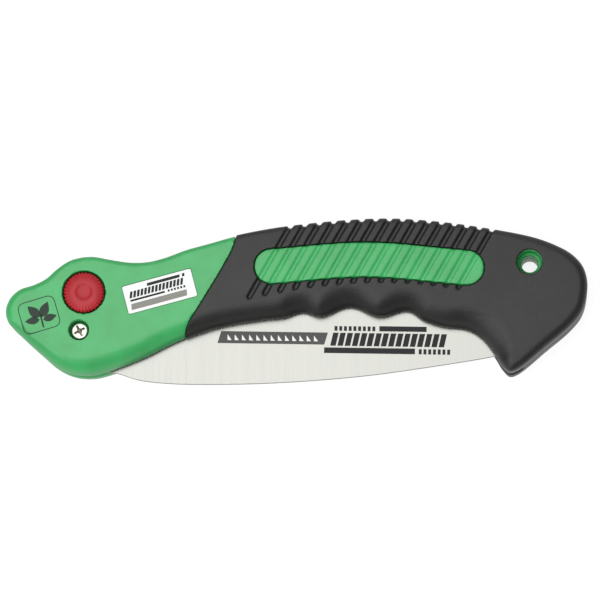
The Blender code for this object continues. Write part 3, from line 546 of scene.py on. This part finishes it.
def ground_steel():
    """Ground carbon steel: straight lines of uneven depth on the faces, darker on faces turned side-on."""
    made, tree, shader = material("ground_carbon_steel", Metallic=1.0, Roughness=0.34)
    place = node(tree, "TexCoord").outputs["Object"]
    lines = node(tree, "Mapping", {"Vector": place, "Scale": (1.0, 0.012, 0.012)})
    fine = node(tree, "TexNoise", {"Vector": lines.outputs["Vector"], "Scale": 4200.0, "Detail": 3.0})
    broad = node(tree, "TexNoise", {"Vector": lines.outputs["Vector"], "Scale": 420.0, "Detail": 4.0})
    both = node(tree, "Mix", {0: 0.45, 2: fine.outputs["Fac"], 3: broad.outputs["Fac"]}, data_type="FLOAT")
    tint = node(tree, "ValToRGB", {"Fac": both.outputs[0]})
    tint.color_ramp.elements[0].position = 0.3
    tint.color_ramp.elements[0].color = hex_colour("#8F8F8B")
    tint.color_ramp.elements[1].position = 0.7
    tint.color_ramp.elements[1].color = hex_colour("#A0A09B")
    span = {"From Min": 0.3, "From Max": 0.7, "To Min": 0.22, "To Max": 0.34}
    rough = node(tree, "MapRange", {"Value": both.outputs[0], **span})
    bump = node(tree, "Bump", {"Height": both.outputs[0], "Strength": 0.05, "Distance": 0.00003})
    # Faces that turn side-on, the edges and the tooth facets, are mixed towards a dark grey-brown.
    facing = node(tree, "SeparateXYZ", {"Vector": node(tree, "TexCoord").outputs["Normal"]})
    upward = node(tree, "Math", {0: facing.outputs["Z"]}, operation="ABSOLUTE")
    ground = node(tree, "MapRange", {"Value": upward.outputs["Value"], "From Min": 0.05, "From Max": 0.25})
    side_on_darker = {0: ground.outputs["Result"], 6: hex_colour("#3A3835"), 7: tint.outputs["Color"]}
    colour = node(tree, "Mix", side_on_darker, data_type="RGBA")
    tree.links.new(colour.outputs[2], shader.inputs["Base Color"])
    tree.links.new(rough.outputs["Result"], shader.inputs["Roughness"])
    tree.links.new(bump.outputs["Normal"], shader.inputs["Normal"])
    return made


def blade_outline():
    """Anticlockwise round the folded blade: back, nose, gullet line, folded notch, tang, open notch."""
    outline = [tuple(p) for p in spine_points(3 * MM)]
    nose = [(share * BLADE_REACH, y * MM) for share, y in NOSE]
    outline += [tuple(p) for p in smooth_line(nose, 2 * MM, closed=False)]
    gullet_line = TOOTH_LINE - TOOTH_DEPTH
    teeth = int((0.965 * BLADE_REACH - HEEL) / TOOTH_PITCH)
    outline += [(HEEL + (teeth - k) * TOOTH_PITCH, gullet_line) for k in range(teeth + 1)]
    outline += [(HEEL - 0.6 * TOOTH_PITCH, TOOTH_LINE)]
    rise = math.asin((TOOTH_LINE - BUTTON.y) / NOTCH_RADIUS)
    distance, bearing = BUTTON.length, math.atan2(BUTTON.y, BUTTON.x)
    half = math.acos((distance**2 + TANG_RADIUS**2 - NOTCH_RADIUS**2) / (2 * distance * TANG_RADIUS))
    ends = [bearing + half, bearing + math.pi - half]
    meets = [Vector((math.cos(a), math.sin(a))) * TANG_RADIUS for a in ends]
    first = meets[0] - BUTTON
    outline += arc(NOTCH_RADIUS, 24, BUTTON, rise, math.atan2(first.y, first.x))[:-1]
    outline += arc(TANG_RADIUS, 48, (0, 0), *ends)
    second = meets[1] + BUTTON
    lift = math.asin((spine_points(3 * MM)[0].y + BUTTON.y) / NOTCH_RADIUS)
    outline += arc(NOTCH_RADIUS, 24, -BUTTON, math.atan2(second.y, second.x), lift)[1:]
    return outline


blade = prism("saw_blade", blade_outline(), -BLADE_HALF, BLADE_HALF)
combine(blade, "DIFFERENCE", drum("bush_hole", 4.25 * MM, -OVER, OVER))

only(blade)
bpy.ops.object.mode_set(mode="EDIT")
bpy.ops.mesh.select_all(action="DESELECT")
work = bmesh.from_edit_mesh(blade.data)
gullets = PIVOT.y + TOOTH_LINE - TOOTH_DEPTH
for face in work.faces:
    centre = face.calc_center_median()
    face.select_set(face.normal.y > 0.99 and abs(centre.y - gullets) < 0.2 * MM and face.calc_area() < 8e-6)
bmesh.update_edit_mesh(blade.data)
bpy.ops.mesh.tris_convert_to_quads()
bpy.ops.mesh.poke()
for vertex in work.verts:
    vertex.select_set(False)
mid_plane = [v for v in work.verts if v.is_valid and abs(v.co.z - PIVOT.z) < 0.1 * MM]
tips = [v for v in mid_plane if abs(v.co.y - gullets) < 0.2 * MM]
tips.sort(key=lambda v: v.co.x)
for number, tip in enumerate(tips):
    tip.co.y += TOOTH_DEPTH
    tip.co.x -= 0.5 * MM
    tip.co.z += 0.28 * MM * (1 if number % 2 else -1)
bmesh.update_edit_mesh(blade.data)
bpy.ops.object.mode_set(mode="OBJECT")

edge = blade.modifiers.new("edge", "BEVEL")
edge.width = 0.16 * MM
edge.segments = 2
edge.limit_method = "ANGLE"
edge.angle_limit = math.radians(50)
edge.harden_normals = False
only(blade)
bpy.ops.object.modifier_apply(modifier=edge.name)
bpy.ops.object.shade_flat()
finished(blade, ground_steel(), "blade", "blade")

# ---- Lock button ------------------------------------------------------------------------------------------
# A red moulded cap with a fluted rim, a ring of short radial ribs for the thumb, a plain ring and a dished
# middle. It is pressed on the plunger's stem, with the spring in the hollow beneath it.

FLUTES = 34


def glossy_red():
    """Acetal dyed red, off a polished tool, with a soft gloss."""
    made, tree, shader = material("moulded_acetal_red", Roughness=0.4, IOR=1.38)
    place = node(tree, "TexCoord").outputs["Object"]
    cloud = node(tree, "TexNoise", {"Vector": place, "Scale": 260.0, "Detail": 3.0})
    tint = node(tree, "ValToRGB", {"Fac": cloud.outputs["Fac"]})
    tint.color_ramp.elements[0].position = 0.3
    tint.color_ramp.elements[0].color = hex_colour("#A01822")
    tint.color_ramp.elements[1].position = 0.7
    tint.color_ramp.elements[1].color = hex_colour("#AE222C")
    bump = node(tree, "Bump", {"Height": cloud.outputs["Fac"], "Strength": 0.1, "Distance": 0.0001})
    tree.links.new(tint.outputs["Color"], shader.inputs["Base Color"])
    tree.links.new(bump.outputs["Normal"], shader.inputs["Normal"])
    return made


def turned(name, profile, at=(0, 0), sides=96, shape=None):
    """A turned piece. The profile runs from the axis at the top round to the axis at the bottom.

    A shape, if given, takes the place in the profile and the turn, and returns a new radius and height.
    """
    work = bmesh.new()
    rings = []
    for place, (radius, height) in enumerate(profile):
        if radius == 0:
            rings.append([work.verts.new((at[0], at[1], height))] * sides)
            continue
        ring = []
        for k in range(sides):
            turn = 2 * math.pi * k / sides
            r, z = shape(place, turn, radius, height) if shape else (radius, height)
            ring.append(work.verts.new((at[0] + r * math.cos(turn), at[1] + r * math.sin(turn), z)))
        rings.append(ring)
    for upper, lower in zip(rings, rings[1:]):
        for k in range(sides):
            j = (k + 1) % sides
            corners = dict.fromkeys((upper[k], lower[k], lower[j], upper[j]))
            work.faces.new(list(corners))
    bmesh.ops.recalc_face_normals(work, faces=work.faces)
    return new_piece(name, work)


def button_shape(place, turn, radius, height):
    """Flutes round the rim and short ribs on the shoulder, both in step."""
    wave = 0.5 + 0.5 * math.cos(FLUTES * turn)
    share = radius / BUTTON_RADIUS
    if share > 0.93:
        radius -= 0.42 * MM * (1 - wave) ** 1.5
    if 0.74 < share < 0.93 and height > crown - 1.2 * MM:
        height -= 0.16 * MM * (1 - wave)
    return radius, height


crown = button_high.z - PIVOT.z
skirt = button_low.z - PIVOT.z
R = BUTTON_RADIUS
button_profile = [
    (0, crown - 0.55 * MM), (0.12 * R, crown - 0.54 * MM), (0.26 * R, crown - 0.45 * MM),
    (0.35 * R, crown - 0.3 * MM), (0.385 * R, crown - 0.16 * MM), (0.41 * R, crown - 0.06 * MM),
    (0.44 * R, crown - 0.01 * MM), (0.5 * R, crown),
    (0.585 * R, crown - 0.04 * MM), (0.62 * R, crown - 0.08 * MM), (0.68 * R, crown - 0.14 * MM),
    (0.76 * R, crown - 0.26 * MM), (0.84 * R, crown - 0.44 * MM), (0.9 * R, crown - 0.64 * MM),
    (0.945 * R, crown - 0.86 * MM), (0.975 * R, crown - 1.1 * MM), (0.995 * R, crown - 1.4 * MM),
    (R, crown - 1.8 * MM), (R, skirt + 0.2 * MM), (0.975 * R, skirt), (4.5 * MM, skirt),
    (4.4 * MM, crown - 1.3 * MM),
    (3.0 * MM, crown - 1.3 * MM), (3.0 * MM, skirt), (2.3 * MM, skirt), (2.3 * MM, crown - 1.3 * MM),
    (0, crown - 1.3 * MM),
]
button = turned("button_cap", button_profile, BUTTON, FLUTES * 10, button_shape)
bpy.ops.object.shade_smooth_by_angle(angle=math.radians(40))
finished(button, glossy_red(), "lock", "lock_button")

# ---- Plunger and spring -----------------------------------------------------------------------------------
# The plunger is turned from free-cutting steel. The spring is drawn wire, wound open, and stands round
# the stem in the button's well.


def drawn_steel(name, base, rough):
    """Turned or drawn steel with fine marks that run round the piece."""
    made, tree, shader = material(name, Metallic=1.0, Roughness=rough)
    place = node(tree, "TexCoord").outputs["Object"]
    squeeze = node(tree, "Mapping", {"Vector": place, "Scale": (0.05, 0.05, 1.0)})
    marks = node(tree, "TexNoise", {"Vector": squeeze.outputs["Vector"], "Scale": 5000.0, "Detail": 2.0})
    tint = node(tree, "ValToRGB", {"Fac": marks.outputs["Fac"]})
    tint.color_ramp.elements[0].color = tuple(0.8 * c for c in hex_colour(base)[:3]) + (1.0,)
    tint.color_ramp.elements[1].color = hex_colour(base)
    bump = node(tree, "Bump", {"Height": marks.outputs["Fac"], "Strength": 0.15, "Distance": 0.00004})
    tree.links.new(tint.outputs["Color"], shader.inputs["Base Color"])
    tree.links.new(bump.outputs["Normal"], shader.inputs["Normal"])
    return made


def refinish(cad_node, finish):
    """Gives a CAD piece whose shape is right its finish."""
    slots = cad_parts[cad_node].data.materials
    slots.clear()
    slots.append(finish)


refinish("lock_plunger", drawn_steel("turned_free_cutting_steel", "#A8A8A4", 0.32))

spring_low, spring_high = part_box("lock_spring")
WIRE_RADIUS = 0.25 * MM
SPRING_TURNS = 2.5
coil_radius = (spring_high.x - spring_low.x) / 2 - WIRE_RADIUS
coil_start, coil_end = spring_low.z + WIRE_RADIUS, spring_high.z - WIRE_RADIUS
steps = int(SPRING_TURNS * 32)
curve = bpy.data.curves.new("spring_line", "CURVE")
curve.dimensions = "3D"
curve.bevel_depth = WIRE_RADIUS
curve.bevel_resolution = 3
curve.use_fill_caps = True
coil = curve.splines.new("POLY")
coil.points.add(steps)
for i, point in enumerate(coil.points):
    turn = 2 * math.pi * SPRING_TURNS * i / steps
    x, y = PIVOT.xy + BUTTON + Vector((math.cos(turn), math.sin(turn))) * coil_radius
    point.co = (x, y, coil_start + (coil_end - coil_start) * i / steps, 1)
spring = bpy.data.objects.new("button_spring", curve)
bpy.context.scene.collection.objects.link(spring)
only(spring)
bpy.ops.object.convert(target="MESH")
spring = bpy.context.active_object
bpy.ops.object.shade_smooth()
finished(spring, drawn_steel("drawn_spring_wire", "#B4B4B0", 0.28), "handle", "lock_spring")
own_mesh(spring)

# ---- Pivot ------------------------------------------------------------------------------------------------
# A zinc-plated cross-head screw runs through a brass bush, on which the blade turns between two acetal
# washers, into a hexagon nut that sits with its washer in a pocket of the far half.


def bright_zinc():
    """Bright zinc plate over cold-headed steel: a soft mirror with a few fine handling marks."""
    made, tree, shader = material("bright_zinc_plate", Metallic=1.0, Roughness=0.22)
    place = node(tree, "TexCoord").outputs["Object"]
    cloud = node(tree, "TexNoise", {"Vector": place, "Scale": 700.0, "Detail": 4.0})
    tint = node(tree, "ValToRGB", {"Fac": cloud.outputs["Fac"]})
    tint.color_ramp.elements[0].position = 0.3
    tint.color_ramp.elements[0].color = hex_colour("#A5A299")
    tint.color_ramp.elements[1].position = 0.7
    tint.color_ramp.elements[1].color = hex_colour("#CAC7BE")
    rough = node(tree, "MapRange", {"Value": cloud.outputs["Fac"], "To Min": 0.16, "To Max": 0.3})
    bump = node(tree, "Bump", {"Height": cloud.outputs["Fac"], "Strength": 0.08, "Distance": 0.0001})
    tree.links.new(tint.outputs["Color"], shader.inputs["Base Color"])
    tree.links.new(rough.outputs["Result"], shader.inputs["Roughness"])
    tree.links.new(bump.outputs["Normal"], shader.inputs["Normal"])
    return made


POINT = 0.0005 * MM  # the tip of a cone that is meant to be sharp


def cross_driver(radius, top, depth, at=(0, 0), turn=0.5):
    """The cutter for a cross recess: two tapering wings, and a cone at their crossing."""
    made = None
    for quarter in (0, 1):
        place = PIVOT + Vector((at[0], at[1], top))
        bpy.ops.mesh.primitive_cone_add(
            vertices=4, radius1=POINT, radius2=2 * radius, depth=2 * depth, location=place
        )
        wing = bpy.context.active_object
        wing.rotation_euler.z = math.pi / 4
        bpy.ops.object.transform_apply()
        wing.data.transform(Matrix.Translation(-place))
        wing.data.transform(Matrix.Diagonal((1.4, 0.27, 1, 1)))
        wing.data.transform(Matrix.Rotation(turn + quarter * math.pi / 2, 4, "Z"))
        wing.data.transform(Matrix.Translation(place))
        made = wing if made is None else combine(made, "UNION", wing)
    bpy.ops.mesh.primitive_cone_add(
        vertices=24, radius1=POINT, radius2=0.9 * radius, depth=2.2 * depth, location=place
    )
    return combine(made, "UNION", bpy.context.active_object)


def cross_head_screw(name, head_radius, seat, crown, shank_radius, tip, at=(0, 0)):
    """A pan-head screw that faces up, with its head between seat and crown."""
    height = crown - seat
    dome = [(0, crown)]
    for step in range(1, 9):
        share = step / 8
        turn = share * math.pi / 2
        dome.append((head_radius * math.sin(turn) ** 0.6, crown - 0.2 * height * (1 - math.cos(turn))))
    profile = dome + [(head_radius, seat + 0.12 * MM), (0.97 * head_radius, seat)]
    profile += [(shank_radius + 0.2 * MM, seat), (shank_radius, seat - 0.25 * MM)]
    profile += [(shank_radius, tip + 0.5 * MM), (0.7 * shank_radius, tip), (0, tip)]
    made = turned(name, profile, at, 72)
    combine(made, "DIFFERENCE", cross_driver(0.74 * head_radius, crown, 0.8 * height, at))
    only(made)
    bpy.ops.object.shade_smooth_by_angle(angle=math.radians(32))
    return made


ZINC = bright_zinc()
low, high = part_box("pivot_screw")
head = (high.x - low.x) / 2
crown_z = high.z - PIVOT.z
pivot_tip = low.z - PIVOT.z
pivot_screw = cross_head_screw(
    "cross_head_pivot_screw", head, crown_z - 2.2 * MM, crown_z, 2.0 * MM, pivot_tip
)
finished(pivot_screw, ZINC, "handle", "pivot_screw")

for number in range(1, 5):
    low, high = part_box(f"body_screw_{number}")
    tall = high.z - low.z
    at = ((low + high) / 2 - PIVOT).xy
    head = (high.x - low.x) / 2
    crown_z = tall / 2
    seat = crown_z - 1.8 * MM
    screw = cross_head_screw(f"shell_screw_{number}", head, seat, crown_z, 1.45 * MM, crown_z - tall, at)
    turned_over(screw).data.transform(Matrix.Translation((0, 0, low.z - (PIVOT.z - crown_z))))
    finished(screw, ZINC, "handle", f"body_screw_{number}")

nut_radius = 4.04 * MM
nut_place = (nut_low + nut_high) / 2
nut_height = nut_high.z - nut_low.z
bpy.ops.mesh.primitive_cylinder_add(vertices=6, radius=nut_radius, depth=nut_height, location=nut_place)
nut = bpy.context.active_object
nut.name = "hexagon_nut"
bpy.ops.object.transform_apply()
combine(nut, "DIFFERENCE", drum("nut_bore", 2.3 * MM, nut_low.z - PIVOT.z - OVER, OVER))
edge = nut.modifiers.new("edge", "BEVEL")
edge.width = 0.25 * MM
edge.segments = 3
edge.limit_method = "ANGLE"
only(nut)
bpy.ops.object.modifier_apply(modifier=edge.name)
bpy.ops.object.shade_smooth_by_angle(angle=math.radians(32))
finished(nut, ZINC, "handle", "pivot_nut")

refinish("nut_washer", ZINC)
refinish("pivot_bush", drawn_steel("turned_brass", "#C9A45A", 0.28))
acetal, tree, shader = material("natural_acetal", Roughness=0.45, IOR=1.48)
grain = node(tree, "TexNoise", {"Vector": node(tree, "TexCoord").outputs["Object"], "Scale": 900.0})
tint = node(tree, "ValToRGB", {"Fac": grain.outputs["Fac"]})
tint.color_ramp.elements[0].color = hex_colour("#DAD8D0")
tint.color_ramp.elements[1].color = hex_colour("#EDEBE4")
tree.links.new(tint.outputs["Color"], shader.inputs["Base Color"])
refinish("front_thrust_washer", acetal)
refinish("rear_thrust_washer", acetal)

# ---- Label and printing -----------------------------------------------------------------------------------
# A white film label in its shallow seat on the head, a pad-printed badge beside the button, and a
# screen-printed panel on the blade. All three carry plain ornament only: bars, strokes, saw teeth and a
# leaf.


def film(name, base, rough):
    """Printed ink or film: an even colour with a slight mottle where it was laid on thinly."""
    made, tree, shader = material(name, Roughness=rough, IOR=1.35)
    place = node(tree, "TexCoord").outputs["Object"]
    mottle = node(tree, "TexNoise", {"Vector": place, "Scale": 1500.0, "Detail": 3.0})
    tint = node(tree, "ValToRGB", {"Fac": mottle.outputs["Fac"]})
    tint.color_ramp.elements[0].position = 0.25
    tint.color_ramp.elements[0].color = tuple(0.85 * c for c in hex_colour(base)[:3]) + (1.0,)
    tint.color_ramp.elements[1].position = 0.6
    tint.color_ramp.elements[1].color = hex_colour(base)
    tree.links.new(tint.outputs["Color"], shader.inputs["Base Color"])
    return made


def printed(name, shapes, base, top, ink, body):
    """Flat shapes joined into one thin piece of ink that lies on a surface."""
    only(prism(name, shapes[0], base, top))
    made = bpy.context.active_object
    extra = [prism("ink", outline, base, top) for outline in shapes[1:]]
    only(made)
    for other in extra:
        other.select_set(True)
    if extra:
        bpy.ops.object.join()
    return finished(made, ink, body)


def slanted(left, right, low, high, lean=0.0):
    """A bar with ends that lean."""
    return [(left, low), (right, low), (right + lean, high), (left + lean, high)]


def on_label(points):
    """Label coordinates in millimetres, from its middle, to the handle's."""
    rotation = Matrix.Rotation(LABEL_TURN, 2)
    return [tuple(rotation @ (Vector(p) * MM) + LABEL) for p in points]


INK_DARK = film("screen_ink_dark", "#1C1D1F", 0.5)
INK_GREY = film("screen_ink_grey", "#8B8A84", 0.5)
INK_BADGE = film("pad_ink_green_black", "#2C3A31", 0.55)
FILM_WHITE = film("polyester_film_white", "#F0F3F1", 0.4)

label_outline = rounded_rectangle(LABEL_LENGTH, LABEL_WIDTH, 0.7 * MM, LABEL, LABEL_TURN)
label = prism("film_label", label_outline, HEAD_TOP - 0.3 * MM, HEAD_TOP)
finished(label, FILM_WHITE, "handle", "label")

LABEL_INK = HEAD_TOP + 0.02 * MM
band = [on_label(slanted(-12.7, 10.3, -4.5, -2.0, 0.4))]
printed("label_band", band, HEAD_TOP - 0.05 * MM, LABEL_INK, INK_GREY, "handle")
teeth = [on_label(slanted(-12.4 + 1.5 * k, -11.35 + 1.5 * k, 0.3, 2.9, 0.9)) for k in range(15)]
rules = [on_label(slanted(-12.3, 2.0, -1.1, -0.3)), on_label(slanted(-4.4, 9.2, 3.4, 4.6, 0.3))]
rules += [on_label(slanted(3.2 + 1.3 * k, 4.0 + 1.3 * k, -1.1, -0.2)) for k in range(6)]
rules.append(on_label(slanted(10.2, 11.2, 3.4, 4.7, 0.3)))
printed("label_teeth", teeth + rules, HEAD_TOP - 0.05 * MM, LABEL_INK, INK_DARK, "handle")

BADGE = Vector((-16.1 * MM, 6.0 * MM))
BADGE_TURN = math.radians(17)
BADGE_LOW, BADGE_TOP = HEAD_TOP - 0.1 * MM, HEAD_TOP + 0.025 * MM
outer_line = rounded_rectangle(15.4 * MM, 13.2 * MM, 2.8 * MM, BADGE, BADGE_TURN)
inner_line = rounded_rectangle(14.7 * MM, 12.5 * MM, 2.45 * MM, BADGE, BADGE_TURN)
badge_ring = prism("badge_ring", outer_line, BADGE_LOW, BADGE_TOP)
inner = prism("inner", inner_line, HEAD_TOP - OVER, HEAD_TOP + OVER)
combine(badge_ring, "DIFFERENCE", inner)


def on_badge(points):
    rotation = Matrix.Rotation(BADGE_TURN, 2)
    return [tuple(rotation @ (Vector(p) * MM) + BADGE) for p in points]


def leaf(length, width, heading, root):
    """A pointed leaf that grows from its root."""
    side = [(length * t, width * math.sin(math.pi * t**0.8)) for t in (i / 12 for i in range(13))]
    outline = side[::-1] + [(x, -y) for x, y in side[1:-1]]
    rotation = Matrix.Rotation(math.radians(heading), 2)
    return on_badge([tuple(rotation @ Vector(p) + Vector(root)) for p in outline])


leaves = [leaf(6.6, 1.9, 122, (0.0, -0.9)), leaf(6.8, 1.9, 52, (0.7, -1.1))]
leaves += [leaf(6.0, 1.5, 172, (-0.3, -1.9)), leaf(5.8, 1.5, 2, (1.1, -2.3))]
leaves.append(on_badge(slanted(0.1, 0.8, -5.4, 0.0, 0.1)))
printed("badge_leaves", leaves, BADGE_LOW, BADGE_TOP, INK_BADGE, "handle")
finished(badge_ring, INK_BADGE, "handle")

PRINT_LOW, PRINT_TOP = BLADE_HALF - 0.05 * MM, BLADE_HALF + 0.02 * MM


def on_blade(points):
    """The printed panel's coordinates in millimetres, which run a little downhill, to the blade's."""
    rotation = Matrix.Rotation(math.radians(-0.8), 2)
    return [tuple(rotation @ (Vector(p) * MM)) for p in points]


panel = [on_blade(slanted(55, 98.0, -3.0, 1.9, 1.4))]
ink_slate = film("screen_ink_slate", "#50514E", 0.5)
printed("blade_panel", panel, PRINT_LOW, PRINT_TOP, ink_slate, "blade")
marks = [on_blade([(59 + 2.9 * k, -1.7), (60.7 + 2.9 * k, -1.7), (59 + 2.9 * k, 0.6)]) for k in range(13)]
printed("blade_panel_teeth", marks, PRINT_LOW, PRINT_TOP + 0.01 * MM, FILM_WHITE, "blade")
marks = [on_blade(slanted(100.4 + 2.9 * k, 102.6 + 2.9 * k, -3.4, 1.9, 1.1)) for k in range(16)]
marks += [on_blade(slanted(98, 134.5, -6.4, -4.1)), on_blade(slanted(120, 139, 2.7, 4.8))]
marks += [on_blade(slanted(136 + 1.9 * k, 137.2 + 1.9 * k, -6.4, -4.3)) for k in range(7)]
marks += [on_blade(slanted(102 + 1.9 * k, 103.2 + 1.9 * k, 2.7, 4.6)) for k in range(9)]
printed("blade_print_teeth", marks, PRINT_LOW, PRINT_TOP, INK_DARK, "blade")

# ---- Stage ------------------------------------------------------------------------------------------------
# A white sweep, a broad overhead light, weaker ones from the left, the back and the front, and a long lens.

low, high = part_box("rear_grip")
FLOOR_Z = low.z - 0.05 * MM
bpy.ops.mesh.primitive_plane_add(size=6.0, location=(0, 0, FLOOR_Z))
floor = bpy.context.active_object
floor.name = "floor"
paper, tree, shader = material("white_paper", Roughness=0.9)
grain = node(tree, "TexNoise", {"Vector": node(tree, "TexCoord").outputs["Object"], "Scale": 400.0})
tint = node(tree, "ValToRGB", {"Fac": grain.outputs["Fac"]})
tint.color_ramp.elements[0].color = hex_colour("#7C7C7C")
tint.color_ramp.elements[1].color = hex_colour("#828282")
tree.links.new(tint.outputs["Color"], shader.inputs["Base Color"])
shader.inputs["Emission Color"].default_value = (1, 1, 1, 1)
shader.inputs["Emission Strength"].default_value = 0.86
floor.data.materials.append(paper)
floor.visible_diffuse = False

world = bpy.data.worlds.new("studio")
bpy.context.scene.world = world
world.use_nodes = True
world.node_tree.nodes["Background"].inputs["Color"].default_value = (1, 1, 1, 1)
world.node_tree.nodes["Background"].inputs["Strength"].default_value = 0.2


def softbox(name, place, aim, size, power):
    light = bpy.data.lights.new(name, "AREA")
    light.shape = "RECTANGLE"
    light.size, light.size_y = size
    light.energy = power
    made = bpy.data.objects.new(name, light)
    made.location = place
    made.rotation_euler = (Vector(aim) - Vector(place)).to_track_quat("-Z", "Y").to_euler()
    bpy.context.scene.collection.objects.link(made)
    return made


softbox("overhead", (-0.16, 0.02, 0.9), (0, 0, 0), (0.9, 0.8), 5.9)
softbox("left_edge", (-0.75, -0.5, 0.7), (0, 0, 0), (0.35, 0.4), 2.6)
softbox("back_edge", (0.1, 0.95, 0.55), (0, 0, 0), (1.2, 0.4), 2.2)
softbox("front_fill", (0.0, -0.75, 0.75), (0, 0, 0), (1.2, 1.0), 4.0).visible_glossy = False

CAMERA_AZIMUTH = math.radians(21)
CAMERA_ELEVATION = math.radians(80.5)
CAMERA_DISTANCE = 1.6
VIEW_WIDTH = 240.0 * MM  # across the picture, at the middle of the saw
camera_data = bpy.data.cameras.new("camera")
camera = bpy.data.objects.new("camera", camera_data)
bpy.context.scene.collection.objects.link(camera)
bpy.context.scene.camera = camera
bpy.context.scene.view_settings.view_transform = "Standard"

aim = PIVOT + Vector((88.6 * MM, 12.3 * MM, 10 * MM))
flat = math.cos(CAMERA_ELEVATION)
aside, ahead = math.sin(CAMERA_AZIMUTH), -math.cos(CAMERA_AZIMUTH)
towards = Vector((aside * flat, ahead * flat, math.sin(CAMERA_ELEVATION)))
right = Vector((1, 0, 0)) - towards * towards.x
right.normalize()
up = towards.cross(right)
turn = Matrix((right, up, towards)).transposed()
camera.matrix_world = Matrix.Translation(aim + towards * CAMERA_DISTANCE) @ turn.to_4x4()
camera_data.sensor_width = 36.0
camera_data.lens = 36.0 * CAMERA_DISTANCE / VIEW_WIDTH
camera_data.clip_start = 0.05
camera_data.clip_end = 20.0
